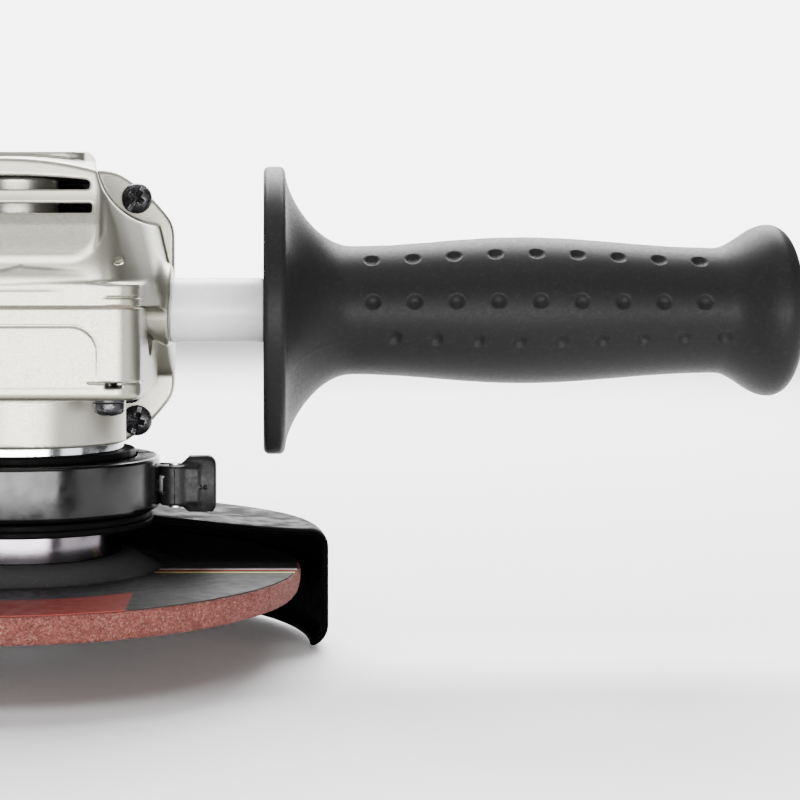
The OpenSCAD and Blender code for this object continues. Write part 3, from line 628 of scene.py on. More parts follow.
def slot_plane(x, z):
    """The two air slots: the upper one arched with a blunt end, the lower one square."""
    upper_top = 28.2 - x ** 2 / 330
    upper = np.maximum(25.3 - z, z - upper_top)
    upper = smooth_both(upper, np.abs(x) - 18.0, 0.9)
    lower = smooth_both(between(z, 20.4, 22.4), np.abs(x) - 18.5, 0.5)
    return np.minimum(upper, lower)


def head_top(x, y):
    """Height of the head's top, arched across at the front and flat further back."""
    arch = np.interp(y, (-34, -6), (1, 0.1)) * x ** 2 / 133
    return eased(y, (-34, -31, -21, -8, 29.5), (31.5, 31.9, 32.9, 34.0, 34.0), 4) - arch


def head_shell(x, y, z):
    across = np.abs(x)
    half = eased(y, (-34, -24, -9, 29.5), (22.9, 27.4, 31.9, 32.0), 9)
    lean = eased(z, (5, 34), (0, 6.0), 9) * np.interp(y, (-34, -20), (0.95, 1.1))
    side = 0.97 * (across + lean - half)
    top = z - head_top(x, y)
    face = eased(z, (1, 5, 8, 12, 23, 33), (-33.3, -33.4, -33.5, -33.0, -30.9, -30.8), 3.5)
    shell = smooth_both(side, top, np.interp(y, (-34, -28, -5), (1.0, 3, 5)))
    shell = smooth_both(shell, 0.67 * across + 0.74 * z - 36, np.interp(y, (-34, -20), (0.5, 3)))
    shell = smooth_both(shell, face - y, np.interp(z, (5, 16, 26), (5.5, 5.5, 1.6)))
    # raised plate that carries the slots, fading out below
    plate_y = face - 0.5 * np.clip((z - 12) / 6, 0, 1)
    plate = smooth_both(round_rect(x, z - 26, 20.2, 15.5, 6.5), between(y, -40, -20), 0.3)
    plate = smooth_both(plate, plate_y - y, 1.6)
    plate = smooth_both(plate, top + 0.12, 0.5)
    shell = smooth_union(shell, plate, 0.9)
    # belly over the parting line, with a crisp upper edge
    belly_top = 9.5 - 0.055 * across - 1.3 * np.clip(1 - across / 4.3, 0, 1) + 0.35 * (across < 4.3)
    belly = smooth_both(4.15 - z, across - 17.9, 2.6)
    belly = smooth_both(belly, z - belly_top, 0.15)
    belly_y = eased(z, (4, 6.2, 9.6), (-33.5, -33.9, -33.35), 2)
    belly = smooth_both(belly, belly_y + 0.035 * np.clip(across - 9, 0, 9) - y, 0.6)
    belly = np.maximum(belly, y + 20)
    shell = smooth_union(shell, belly, 0.15)
    # lid on the flat top
    lid_top = np.interp(y, (-22, -9), (33.95, 34.95))
    lid = smooth_both(round_rect(x, y + 1, 15.6, 20.5, 5), z - lid_top, 0.3)
    lid = np.maximum(lid, 28 - z)
    return smooth_union(shell, lid, 0.25)


def cover_plan(x, y):
    return round_rect(x, y + 2.1, 28.4, 31.3, 6)


def head_base(x, y, z):
    """The foot of the head, with the same plan as the cover under it and a groove round it."""
    plan = cover_plan(x, y)
    base = smooth_both(plan, between(z, PARTING, 4.75 + 0.035 * np.abs(x)), 0.5)
    groove = np.maximum(np.abs(z - 2.85) - 0.2, -(plan + 0.45))
    return smooth_cut(base, groove, 0.1)


def pocket(x, y, z):
    """Hollow of each upper corner, widening to the rear, which leaves the flange bare round its screw."""
    back = (y - HEAD_FRONT) / 63.5
    distance = np.hypot(np.abs(x) - 33.9 + 3.9 * back, z - 31.8 - 5.4 * back)
    return 0.97 * (distance - 14.4 - 2.6 * back)


def side_boss(x, y, z):
    """Threaded boss of the side handle; its underside is scooped away towards the cover."""
    across = np.abs(x)
    boss = smooth_both(rod(y, z, BOSS_R), between(across, 22.5, BOSS_FACE), 0.7)
    scoop = 0.8 * (-z - 5.2 - 0.7 * (across - 27.7))
    web = smooth_both(between(across, 25, 32.6), between(y, -2, FLANGE_Y), 1.5)
    web = smooth_both(web, 0.93 * (-z - 5 - 0.36 * y), 1.0)
    web = np.maximum(web, z)
    return smooth_union(smooth_both(boss, scoop, 2.0), web, 1.5)


def flange_plan(x, z, grow=0.0):
    """A circle cut by four flats, the lower one a little higher than the upper one."""
    flats = np.maximum(np.abs(x) - FLANGE_HALF - grow, np.abs(z) - 34 - grow)
    plan = smooth_both(rod(x, z, 38 + grow), flats, 1.5)
    return smooth_both(plan, -32.6 - grow - z, 1.2)


def gear_head(x, y, z):
    across = np.abs(x)
    shell = smooth_both(head_shell(x, y, z), y - FLANGE_Y - 1, 0.3)
    shell = smooth_union(shell, head_base(x, y, z), 1.2)
    shell = smooth_cut(shell, pocket(x, y, z), 0.5)
    dent = np.sqrt(((across - 25.8) / 3.6) ** 2 + ((y + 29.2) / 2.2) ** 2
                   + ((z - 10.8 - 0.3 * (across - 25)) / 0.8) ** 2)
    shell = smooth_cut(shell, (dent - 1) * 0.8, 0.3)
    shell = np.maximum(shell, PARTING - z)
    flange = smooth_both(flange_plan(x, z), between(y, FLANGE_Y, FLANGE_END), 0.7)
    solid = smooth_union(shell, flange, 0.6)
    solid = np.minimum(solid, smooth_both(rod(x, z, 14), between(y, 23.7, 31), 0.3))
    solid = smooth_union(solid, side_boss(x, y, z), np.interp(z, (-4, 3), (1.0, 4.5)))
    return smooth_cut(solid, head_hollow(x, y, z), 0.3)


def head_hollow(x, y, z):
    """Gear room, bearing seats, air chamber behind the slots, lock and screw holes."""
    across = np.abs(x)
    chamber = smooth_both(round_rect(across, z - 23.9, 18.9, 4.6, 2), between(y, -29.6, -3), 1.5)
    duct = smooth_both(round_rect(across - 9.8, z - 23.8, 4.9, 4.2, 2.5), between(y, -6, 40), 0.5)
    chamber = smooth_cut(np.minimum(chamber, duct), rod(x, y - LOCK_Y, 9.0), 0.4)
    return any_of(
        chamber,
        smooth_both(rod(x, y, 23.5), z - 9.5, 0.5),
        smooth_both(rod(x, z, 10), between(y, 0, 24), 0.3),
        smooth_both(rod(x, z, 11), between(y, 24, 31), 0.3),
        smooth_both(rod(x, z, 16), between(y, 31, 40), 0.3),
        smooth_both(rod(x, y, 6.5), between(z, 8, 20), 0.2),
        np.maximum(slot_plane(x, z), between(y, -40, -28.5)),
        smooth_both(rod(x, y - LOCK_Y, 7.8), 22.2 - z, 0.3),
        np.maximum(rod(x, y - LOCK_Y, 4.6), between(z, 14, 28)),
        np.maximum(rod(x, y - LOCK_Y, 2.1), between(z, 0, 28)),
        np.maximum(rod(across - SCREW_X, np.abs(z) - SCREW_Z, 2.15), 20 - y),
        np.maximum(rod(y, z, 4.05), 25 - across),
    )


def build_head(fine):
    """The face and the parting line are cut finely; the rear and the flange's foot need less."""
    y = ticks((-34.8, -29.6, 0.26 * fine), (-29.6, 36, 0.55 * fine))
    z = ticks((-33.4, 0.1, 0.6 * fine), (0.1, 11, 0.26 * fine), (11, 36, 0.38 * fine))
    points, faces = surface(gear_head, [ticks((-34.2, 34.3, 0.42 * fine)), y, z])
    piece = add_piece("gear_head_casting", (points, faces), "housing", "gear_housing", "champagne_paint")
    piece.data.materials.append(CHAMBER_SHADE_PAINT)
    # the air chamber's inside wears a near-black material as painted shade, all but the post round the lock
    # pin
    x, y, z = points[faces].mean(1).T
    chamber = all_of(np.abs(x) - 19.2, np.abs(z - 24) - 5, between(y, -30.6, 29))
    inside = np.maximum(chamber, -rod(x, y - LOCK_Y, 9.3)) < 0
    piece.data.polygons.foreach_set("material_index", inside.astype(int).tolist())


def cover_block(x, y, z):
    across = np.abs(x)
    block = smooth_both(cover_plan(x, y), z - PARTING + 0.3, 0.35)
    block = smooth_both(block, COVER_BOTTOM - z, 1.6)
    # a slightly proud panel on the front face, fading out towards the foot
    outline = round_rect(x, z + 13.5, 19.8, 10.4, 5.6)
    front = eased(z, (-16, -6), (-33.36, -33.6), 8)
    panel = smooth_both(smooth_both(outline, front - y, 0.25), between(z, -16, 0), 0.3)
    block = smooth_union(block, np.maximum(panel, y + 20), 0.2)
    line = smooth_both(np.abs(outline) - 0.2, y + 33.3, 0.1)
    block = smooth_cut(block, np.maximum(line, -14.5 - z), 0.15)
    seam = np.maximum(np.abs(z + 14.9) - 0.16, -(cover_plan(x, y) + 0.3))
    block = smooth_cut(block, all_of(seam, 17.6 - across, y + 22), 0.1)
    notch = np.maximum(between(across, 21.3, 24.8), between(z, -16.05, -14.9))
    return smooth_cut(block, np.maximum(notch, y + 24), 0.08)


def gear_cover(x, y, z):
    solid = cover_block(x, y, z)
    solid = smooth_union(solid, smooth_both(rod(x, y, 22.8), between(z, PAINT_END, -12), 0.35), 0.9)
    hollow = any_of(
        np.maximum(rod(x, y, 23), -14 - z),
        np.maximum(rod(x, y, 21), -16.5 - z),
        np.maximum(rod(x, y, 16), -26.5 - z),
        rod(x, y, NECK_BORE_R),
        np.maximum(rod(x, z, 14.3), 21.5 - y),
        np.maximum(rod(y, z, BOSS_R + 0.3), 22.2 - np.abs(x)),
        rod(np.abs(x) - COVER_SCREW_X, np.abs(y) - COVER_SCREW_Y, 2.2),
    )
    return smooth_cut(solid, hollow, 0.3)


def build_cover(fine):
    """The painted casting, and the machined neck below it that the guard turns on."""
    y = ticks((-34.4, -30, 0.24 * fine), (-30, 30.5, 0.6 * fine))
    z = ticks((-30.4, -19.4, 0.6 * fine), (-19.4, 1.6, 0.3 * fine))
    shape = surface(gear_cover, [ticks((-29.4, 29.5, 0.4 * fine)), y, z])
    add_piece("gearbox_cover_casting", shape, "housing", "gearbox_cover", "champagne_paint")
    low, high, r_in = COVER_LOW[2], PAINT_END, NECK_BORE_R
    ring = rounded([(r_in, low, 0.3), (NECK_R, low, 0.5), (NECK_R, high, 0.1), (r_in, high, 0)])
    add_piece("gearbox_cover_neck", lathe(ring, 200), "housing", None, "bright_steel", NECK_STEEL)


# ---- Screws ----
def screw_field(head_r, head_h, shank_r, shank_len):
    """A pan-head screw along +z: the head stands above zero, the shank goes down."""
    def field(x, y, z):
        crown = np.sqrt(x ** 2 + y ** 2 + (z + head_r * 1.2) ** 2) - (head_h + head_r * 1.2)
        head = smooth_both(smooth_both(rod(x, y, head_r), crown, 0.9), -z, 0.15)
        width = head_r * 0.17
        slot = np.maximum(np.abs(y) - width, head_h * 0.52 - z)
        wings = np.minimum(np.maximum(np.abs(x) - width, np.abs(y) - head_r * 0.52),
                           np.maximum(np.abs(y) - width, np.abs(x) - head_r * 0.52))
        recess = np.maximum(wings, head_h * 0.12 + np.hypot(x, y) * 0.55 - z)
        head = smooth_cut(head, np.minimum(slot, recess), 0.12)
        shank = np.maximum(rod(x, y, shank_r), between(z, -shank_len, 0.2))
        return np.minimum(head, shank)
    return field


def build_screws(name, node, seats, head_r, head_h, shank_r, shank_len, cell):
    """Copies of one screw; a seat is (centre, turn): turn maps the screw's own axes to the part's."""
    low = (-head_r, -head_r, -shank_len)
    high = (head_r, head_r, head_h)
    one, quads = surface(screw_field(head_r, head_h, shank_r, shank_len), even(low, high, cell))
    shape = joined([(one @ turn.T + centre, quads) for centre, turn in seats])
    add_piece(name, shape, "housing", node, "black_oxide")


def turn_about(axis_from_z, spin):
    """Rotation that takes +z to the named direction, after a spin about +z in degrees."""
    c, s = math.cos(math.radians(spin)), math.sin(math.radians(spin))
    spun = np.array([[c, -s, 0], [s, c, 0], [0, 0, 1]])
    frames = {
        "-y": [[1, 0, 0], [0, 0, -1], [0, 1, 0]],
        "-z": [[1, 0, 0], [0, -1, 0], [0, 0, -1]],
    }
    return np.array(frames[axis_from_z]) @ spun


CORNERS = ((-1, -1), (-1, 1), (1, -1), (1, 1))


def cover_seat(sx, sy):
    """Middle of a cover screw's seat: the face of its washer, in the corner that the signs tell."""
    return sx * COVER_SCREW_X, sy * COVER_SCREW_Y, COVER_BOTTOM - 1


def build_all_screws(cell):
    spins = {(-1, 1): 20, (1, 1): 58, (-1, -1): -15, (1, -1): 75}
    seats = [((sx * SCREW_X, FLANGE_Y, sz * SCREW_Z), turn_about("-y", spin))
             for (sx, sz), spin in spins.items()]
    build_screws("housing_screw_set", "housing_screws", seats, 3.7, 2.8, 2.0, 25, cell)
    seats = [(cover_seat(sx, sy), turn_about("-z", 30 * sx + 12 * sy)) for sx, sy in CORNERS]
    build_screws("cover_screw_set", "cover_screws", seats, 3.4, 2.9, 2.0, 26, cell)


def build_washers():
    ring = rounded([(2.1, 0, 0.1), (3.5, 0, 0.3), (3.5, 1, 0.3), (2.1, 1, 0.1)])
    one, quads = lathe(ring, 40)
    shape = joined([(one + cover_seat(sx, sy), quads) for sx, sy in CORNERS])
    add_piece("cover_washer_set", shape, "housing", "cover_screw_washers", "black_oxide")


# ---- Side handle ----
GRIP_FLANGE = 32.4
GRIP_LEN = GRIP_HIGH[0] - GRIP_LOW[0]


def grip_radius(u):
    """Radius of the grip at u millimetres from its flange face, past the flange's rounded rim."""
    places = (4.9, 20, 58, 101.5, 113.5)
    radii = (GRIP_FLANGE - 1.4, 14.5, 16.5, 14.15, 19.35)
    out = np.full_like(u, radii[-1])
    for i in range(4):
        t = np.clip((u - places[i]) / (places[i + 1] - places[i]), 0, 1)
        s = np.sin(np.pi / 2 * t) ** 0.62 if i == 0 else (1 - np.cos(np.pi * t)) / 2
        here = (u >= places[i]) & (u < places[i + 1])
        out[here] = (radii[i] + (radii[i + 1] - radii[i]) * s)[here]
    return out


def grip_profile():
    """(u, radius) from the bore at the flange face round to the bore at the end."""
    face = [(0.0, 4.1), (0.0, 12), (0.0, 22), (0.0, GRIP_FLANGE - 1.2)]
    rim = arc(1.3, GRIP_FLANGE - 1.3, 1.3, 170, 90, 5)
    back = arc(3.5, GRIP_FLANGE - 1.3, 1.3, 90, 20, 4)
    u = np.concatenate([4.9 + 15.1 * np.linspace(0, 1, 34)[1:] ** 2.2, np.arange(20.4, 113, 0.36)])
    side = list(zip(u.tolist(), grip_radius(u).tolist()))
    nose = arc(GRIP_LEN - 4.1, 15.25, 4.1, 84, 5, 9)
    close = [(GRIP_LEN, 14), (GRIP_LEN, 9), (GRIP_LEN - 0.6, 7.6), (GRIP_LEN - 3, 7.2), (GRIP_LEN - 3, 0.2)]
    inner = [(33.3, 0.2), (33.3, 7.6), (27.1, 7.6), (27.1, 4.1)]
    return face + rim + back + side + nose + close + inner


def dimples(u, angle, radius):
    """How far the grip's surface sinks: rows of round dimples, the same at the front and the back."""
    sink = np.zeros_like(u)
    pitch = 9.05
    rows = ((90, 28.5, (1,)), (49.5, 23.9, (-1, 1)), (7.5, 23.9, (-1, 1)), (-24, 28.5, (-1, 1)))
    for row, first, sides in rows:
        for side in sides:
            centre = math.radians(90 + side * (90 - row))
            along = (u - first + pitch / 2) % pitch - pitch / 2
            along = np.where((u > first - pitch / 2) & (u < first + 8.5 * pitch), along, pitch)
            around = ((angle - centre + math.pi) % (2 * math.pi) - math.pi) * radius
            d = np.hypot(along, around)
            sink = np.maximum(sink, 0.75 * np.clip(1 - (d / 1.6) ** 2, 0, None) ** 0.75)
    return sink


def build_grip(steps):
    profile = np.array(grip_profile())
    n = len(profile)
    angle = 2 * math.pi * np.arange(steps) / steps
    u = np.repeat(profile[:, 0][None], steps, 0)
    r = np.repeat(profile[:, 1][None], steps, 0)
    a = np.repeat(angle[:, None], n, 1)
    dimpled = (u > 20) & (u < 109) & (r > 10)
    r = r - np.where(dimpled, dimples(u, a, r), 0)
    # two mould lines run along the grip
    for line in (27, 207):
        off = np.abs((a - math.radians(180 - line) + math.pi) % (2 * math.pi) - math.pi) * r
        r = r + np.where((u > 4) & (r > 10), 0.06 * np.exp(-(off / 0.25) ** 2), 0)
    r = np.minimum(r, GRIP_FLANGE)
    # the angle runs up from the handle's front, -y
    points = np.stack([u + GRIP_LOW[0], -r * np.cos(a), r * np.sin(a)], 2).reshape(-1, 3)
    faces = [(a, d, c, b) for a, b, c, d in skin(steps, n, True)]
    add_piece("side_handle_grip", (points, faces), "side_handle", "handle_grip", "grip_black")


def build_sleeve():
    near, far = BOSS_FACE, GRIP_LOW[0]
    tube = rounded([(4.1, near, 0), (7.3, near, 0.5), (7.3, far, 0.5), (4.1, far, 0)])
    add_piece("handle_spacer_sleeve", lathe(tube, 96, "x"), "side_handle", "handle_sleeve", "sleeve_white")


# ---- Guard ----
SHEET = 1.5
GUARD_R = GUARD_HIGH[0]
GUARD_BOTTOM = GUARD_LOW[2]
SHEET_TOP = -46.4
COLLAR_R = 24
LEVER_X, LEVER_Y = 34, 1


def guard_outline():
    """Section of the guard's sheet: flat by the collar, sloping out, round corner, skirt and curled foot."""
    corner, curl = 4.2, 5
    outside = [(COLLAR_R, SHEET_TOP), (27, SHEET_TOP), (29.4, -46.45), (33, -46.9)]
    outside += [(40, -47.6), (48.5, -48.45), (54, -48.9), (60, -49.35)]
    outside += arc(GUARD_R - corner, -49.5 - corner, corner, 88, 0, 8)
    outside += [(GUARD_R, -58), (GUARD_R, -64), (GUARD_R, -69)]
    outside += arc(GUARD_R - curl, GUARD_BOTTOM + curl, curl, 0, -68, 8)
    outside = np.array(outside)
    slope = np.gradient(outside, axis=0)
    slope /= np.linalg.norm(slope, axis=1)[:, None]
    inside = outside + np.stack([slope[:, 1], -slope[:, 0]], 1) * SHEET
    lip = arc(*((outside[-1] + inside[-1]) / 2), SHEET / 2, -65, -245, 4)[1:-1]
    return [tuple(p) for p in outside] + lip + [tuple(p) for p in inside[::-1]]


def build_guard(steps):
    outline = np.array(guard_outline())
    n = len(outline)
    # the sheet covers the rear half; its cut edges are rounded over by three thin end rings
    turns = [(0.0, 0.42), (0.12, 0.75), (0.42, 0.95)]
    angle = [math.degrees(d / GUARD_R) for d, _ in turns]
    inner = np.linspace(math.degrees(0.9 / GUARD_R), 180 - math.degrees(0.9 / GUARD_R), steps)
    stations = [(a, s) for a, (_, s) in zip(angle, turns)] + [(a, 1.0) for a in inner]
    stations += [(180 - a, s) for a, (_, s) in reversed(list(zip(angle, turns)))]
    middle = (outline + np.roll(outline[::-1], 1, 0)) / 2
    points = []
    for degrees, share in stations:
        a = math.radians(degrees)
        section = middle + (outline - middle) * share
        wave = 0.16 * math.sin(3.1 * a + 0.6) + 0.09 * math.sin(7.3 * a)
        lift = np.clip((section[:, 0] - 50) / 18, 0, 1) * np.clip((section[:, 1] + 60) / 8, 0, 1)
        points.append(np.stack([section[:, 0] * math.cos(a), section[:, 0] * math.sin(a),
                                section[:, 1] + wave * lift], 1))
    points = np.concatenate(points)
    faces = [quad[::-1] for quad in skin(len(stations), n, False)]
    faces.append(tuple(range(n)))
    faces.append(tuple(range(len(points) - 1, len(points) - n - 1, -1)))
    add_piece("wheel_guard_sheet", (points, faces), "guard", "guard_shell", "gloss_black_sheet", ROOF)


def build_guard_plate():
    """The flat ring that joins the front of the guard to its collar."""
    r, low, high = 29.2, SHEET_TOP - SHEET, SHEET_TOP
    ring = rounded([(COLLAR_R, low, 0), (r, low, 0.5), (r, high, 0.5), (COLLAR_R, high, 0)])
    shape = lathe(ring, 90, "z", 180, 180)
    add_piece("wheel_guard_inner_ring", shape, "guard", None, "gloss_black_sheet", ROOF)


def build_collar():
    neck = NECK_R + 0.05
    ring = rounded([
        (neck, SHEET_TOP, 0), (28.8, SHEET_TOP, 0.3), (28.8, -45.0, 0.5), (COLLAR_R, -45.0, 0.3),
        (COLLAR_R, -33.2, 0.2), (25.0, -32.9, 0.4), (25.0, -31.1, 0.7), (neck + 0.2, -31.1, 0.4),
        (neck, -31.6, 0)])
    add_piece("guard_collar_ring", lathe(ring, 160), "guard", "guard_collar", "gloss_black_sheet", ROOF)


def build_band():
    """The clamp band: rolled edges all round, and two ears that the bolt draws together."""
    top, bottom, r = -32.8, BAND_LOW[2], -BAND_LOW[0]
    section = rounded([
        (24.1, bottom, 0.2), (r, bottom, 1.2), (r, top, 0.9), (25.4, top, 0.5), (25.3, top - 1.8, 0.2),
        (24.1, top - 1.8, 0.1)], 6)
    parts = [lathe(section, 200, "z", 18, 354)]
    ear_end, bolt_z = 38.5, -39.6

    def ear(y_low, x_low):
        def field(x, y, z):
            half = ((ear_end - x_low) / 2, 1, 4.1)
            body = round_box(x - (x_low + ear_end) / 2, y - y_low - 1, z - bolt_z, half, 0.6)
            return smooth_cut(body, rod(x - LEVER_X, z - bolt_z, 2.2), 0.2)
        return field

    for y_low, x_low in ((4.4, 28.2), (9.4, 27.2)):
        grid = even((x_low, y_low, bolt_z - 4.1), (ear_end, y_low + 2, bolt_z + 4.1), 0.35)
        parts.append(surface(ear(y_low, x_low), grid))
    add_piece("guard_clamp_band", joined(parts), "guard", "clamp_band", "gloss_black_sheet")


def lever_field(x, y, z):
    mid = -39.4
    barrel = smooth_both(rod(x - LEVER_X, y - LEVER_Y, 3.6), between(z, -44.05, -35.15), 0.6)
    neck = round_box(x - 36.2, y - LEVER_Y + 0.4, z - mid + 0.1, (3.4, 2.3, 4.35), 0.9)
    half_z = np.interp(x, (34.2, 35.2, 37.3, 41.5, 43.3), (3.8, 4.5, 6.5, 6.6, 6.3))
    tab = smooth_both(np.abs(z - mid) - half_z, between(x, 34.2, LEVER_HIGH[0]), 2.2)
    crown = 2.35 - 0.018 * (z - mid) ** 2
    tab = smooth_both(tab, np.abs(y - LEVER_Y) - crown, 0.9)
    solid = smooth_union(smooth_union(barrel, neck, 0.8), tab, 0.9)
    for side in (-1, 1):
        pip = np.sqrt((x - 40.3 - side * 0.55) ** 2 + (y - LEVER_Y + 2.3) ** 2 + (z - mid + 0.5) ** 2) - 0.38
        solid = smooth_union(solid, pip, 0.25)
    level = between(z, -41.8, -37.4)
    cavity = smooth_both(rod(x - LEVER_X, y - LEVER_Y, 2.95), level, 0.1)
    # the bolt's shank leaves at the back, and at the left when the lever is thrown open
    slant = 0.174 * (x - LEVER_X) - 0.985 * (y - LEVER_Y) - 2.15
    window = all_of(slant, x - LEVER_X - 2.15, rod(x - LEVER_X, y - LEVER_Y, 5))
    cavity = np.minimum(cavity, smooth_both(window, level, 0.1))
    cavity = np.minimum(cavity, rod(x - LEVER_X, y - LEVER_Y, 1.55))
    return smooth_cut(solid, cavity, 0.15)


def build_lever(cell):
    shape = surface(lever_field, even(LEVER_LOW, LEVER_HIGH, cell))
    add_piece("guard_clamp_lever", shape, "guard_lever", "clamp_lever", "die_cast_black")


# ---- Disc ----
DISC_R = DISC_HIGH[0]
DISC_TOP = -57.85
HUB_TOP = DISC_HIGH[2]
DISC_T = 6
BORE_R = 11.115


def lathe_rough(profile, steps, rough):
    """Revolves a closed profile and moves each point by rough(angle, radius, height) along the radius."""
    points, faces = lathe(profile, steps)
    angle = np.arctan2(points[:, 1], points[:, 0])
    r = np.hypot(points[:, 0], points[:, 1])
    new = r + rough(angle, r, points[:, 2])
    points[:, 0] *= new / r
    points[:, 1] *= new / r
    return points, faces


def build_disc(steps):
    dish = HUB_TOP - DISC_TOP
    under = DISC_TOP + 0.25 - DISC_T
    side = [(DISC_R - 0.75 * (i / 5) ** 3 - 0.02, DISC_TOP - 0.3 - 4.6 * i / 5) for i in range(6)]
    profile = [(BORE_R + 1.1, HUB_TOP), (20, HUB_TOP), (22.4, HUB_TOP)]
    profile += [(22.7 + 8.6 * t, HUB_TOP - dish * (1 - math.cos(math.pi * t)) / 2)
                for t in np.linspace(0.08, 1, 9)]
    profile += [(45, DISC_TOP), (58, DISC_TOP), (DISC_R - 0.7, DISC_TOP), (DISC_R - 0.25, DISC_TOP - 0.06)]
    profile += side + [(DISC_R - 1.3, DISC_TOP - 5.6), (DISC_R - 2.2, under)]
    profile += [(58, under), (45, under), (29.3, under)]
    profile += [(25, HUB_TOP - DISC_T - 1.4), (21, HUB_TOP - DISC_T), (BORE_R + 1.1, HUB_TOP - DISC_T)]
    grain = rng.random((steps, 64))

    def rough(angle, r, z):
        column = ((angle / (2 * math.pi)) % 1 * steps).astype(int) % steps
        row = ((z - z.min()) * 9).astype(int) % 64
        edge = np.clip((r - DISC_R + 2.5) / 1.5, 0, 1)
        wear = 0.10 * np.sin(angle * 11) + 0.08 * np.sin(angle * 29 + 1)
        return -edge * (grain[column, row] * 0.22 + 0.1 + wear * 0.5)

    points, faces = lathe_rough(profile, steps, rough)
    piece = add_piece("depressed_centre_disc", (points, faces), "spindle", "grinding_disc", "abrasive")
    piece.data.materials.append(HUB)
    middle = np.array([points[list(f)].mean(0) for f in faces])
    top = (middle[:, 2] > DISC_TOP + 0.03) & (np.hypot(middle[:, 0], middle[:, 1]) < 31.6)
    piece.data.polygons.foreach_set("material_index", top.astype(int).tolist())


def build_label():
    radii = [31.4, 36, 42, 48, 54, 59, DISC_R - 1.0, DISC_R - 0.72]
    steps = 360
    outline = [(r, DISC_TOP + 0.22) for r in radii] + [(r, DISC_TOP + 0.01) for r in reversed(radii)]

    def ragged(angle, r, z):
        edge = np.clip((r - DISC_R + 2) / 1.2, 0, 1)
        waves = 0.12 * np.sin(angle * 37) * np.sin(angle * 13 + 2) + 0.08 * np.sin(angle * 91)
        return -edge * (0.12 + waves)

    shape = lathe_rough(outline, steps, ragged)
    add_piece("disc_paper_label", shape, "spindle", "disc_label", "label_paper")


def build_inner_flange():
    ring = rounded([
        (7, -48.4, 0.3), (22, -48.4, 0.45), (22, HUB_TOP, 0.3), (11.05, HUB_TOP, 0), (11.05, -57.3, 0.4),
        (7, -57.3, 0.3)])
    add_piece("spindle_inner_flange", lathe(ring, 180), "spindle", "inner_flange", "dark_steel")


# ---- Motor housing, rear covers and switch ----
def body_section(x, y, z, inset=0.0):
    """Outside of the whole plastic body, from the head's flange to the tail."""
    stations = (35, 40, 48, 54, 140, 178, 226, 234)
    half_w = np.interp(y, stations, (31.6, 31.5, 29.4, 26, 26, 22.6, 20.6, 18.8)) - inset
    half_h = np.interp(y, stations, (33.5, 33.4, 31, 28.5, 28.5, 23.5, 24.5, 22)) - inset
    r = np.interp(y, stations, (37.5, 37.4, 34, 31, 31, 25.7, 25.2, 22.4)) - inset
    plan = smooth_both(np.hypot(x, z) - r, np.abs(x) - half_w, 2.5)
    return smooth_both(plan, np.abs(z) - half_h, 2.5)


def vents(y, z, first, step, count, half_len, wide):
    """A row of upright slots, every one rounded at its ends, at step from each other along y."""
    return any_of(*[round_rect(y - first - step * i, z, wide / 2, half_len, wide / 2) for i in range(count)])


def motor_field(x, y, z):
    solid = smooth_both(body_section(x, y, z), between(y, FLANGE_END, 139.95), 0.5)
    across = np.abs(x)
    screw = (across - SCREW_X, np.abs(z) - SCREW_Z)
    screws = smooth_both(rod(*screw, 3.9), between(y, FLANGE_END, 57), 0.9)
    screws = smooth_both(screws, flange_plan(x, z, -0.1), 0.5)
    solid = smooth_union(solid, screws, 1.5)
    solid = smooth_both(solid, smooth_union(-32.1 - z, 58 - y, 1), 0.8)
    # shallow moulded ribs where the hand holds the body
    ribs = smooth_both(between(y, 62, 116), between(z, -17, 15), 1.0)
    ridge = 0.45 * (0.5 + 0.5 * np.cos(2 * np.pi * (y - 62) / 4.5))
    ridge = ridge * np.clip(-ribs / 2, 0, 1) * np.clip((across - 18) / 3, 0, 1)
    solid = solid + np.where(ribs < 0, ridge, 0)
    hollow = np.maximum(body_section(x, y, z, WALL), 47.9 - y)
    hollow = np.minimum(hollow, np.maximum(rod(x, z, 26.9), y - 48))
    bulkhead = np.maximum(between(y, 121, 124), 12 - np.hypot(x, z))
    hollow = any_of(
        smooth_cut(hollow, bulkhead, 0.2),
        np.maximum(vents(y, z, 108, 4, 6, 8, 1.7), 20 - across),
        np.maximum(round_rect(x, y - 111.2, 4.2, 7.25, 0.8), 20 - z),
        np.maximum(rod(*screw, 2.05), y - 56),
    )
    return smooth_cut(solid, hollow, 0.3)


def rear_field(side, x, y, z):
    """One half of the rear cover; side is +1 for the right half and -1 for the left."""
    solid = smooth_both(body_section(x, y, z), between(y, 140.0, TAIL_END), 0.6)
    solid = smooth_both(solid, y - TAIL_END + 0.02 * (x ** 2 + z ** 2) / 4, 3.0)
    step = np.maximum(np.abs(y - 144) - 0.4, -(body_section(x, y, z) + 0.5))
    solid = smooth_cut(solid, step, 0.2)
    hollow = smooth_both(body_section(x, y, z, WALL), y - TAIL_END + 5.4, 5)
    gland = np.maximum(rod(x, z, 11), 222 - y)
    screw = any_of(*[np.hypot(y - py, z - pz) for py, pz in REAR_SCREWS])
    posts = screw - 3.4
    hollow = smooth_cut(smooth_cut(hollow, gland, 0.2), posts, 0.4)
    hollow = any_of(
        hollow,
        rod(x, z, 8.02) + np.maximum(224 - y, 0),
        np.maximum(vents(y, z, 189, 5, 5, 9, 2), 16 - np.abs(x)),
        np.maximum(screw - 3.25, x + 13.0),
        np.maximum(screw - 1.6, x - 15),
    )
    solid = smooth_cut(solid, hollow, 0.3)
    return smooth_both(solid, 0.06 - side * x, 0.35)


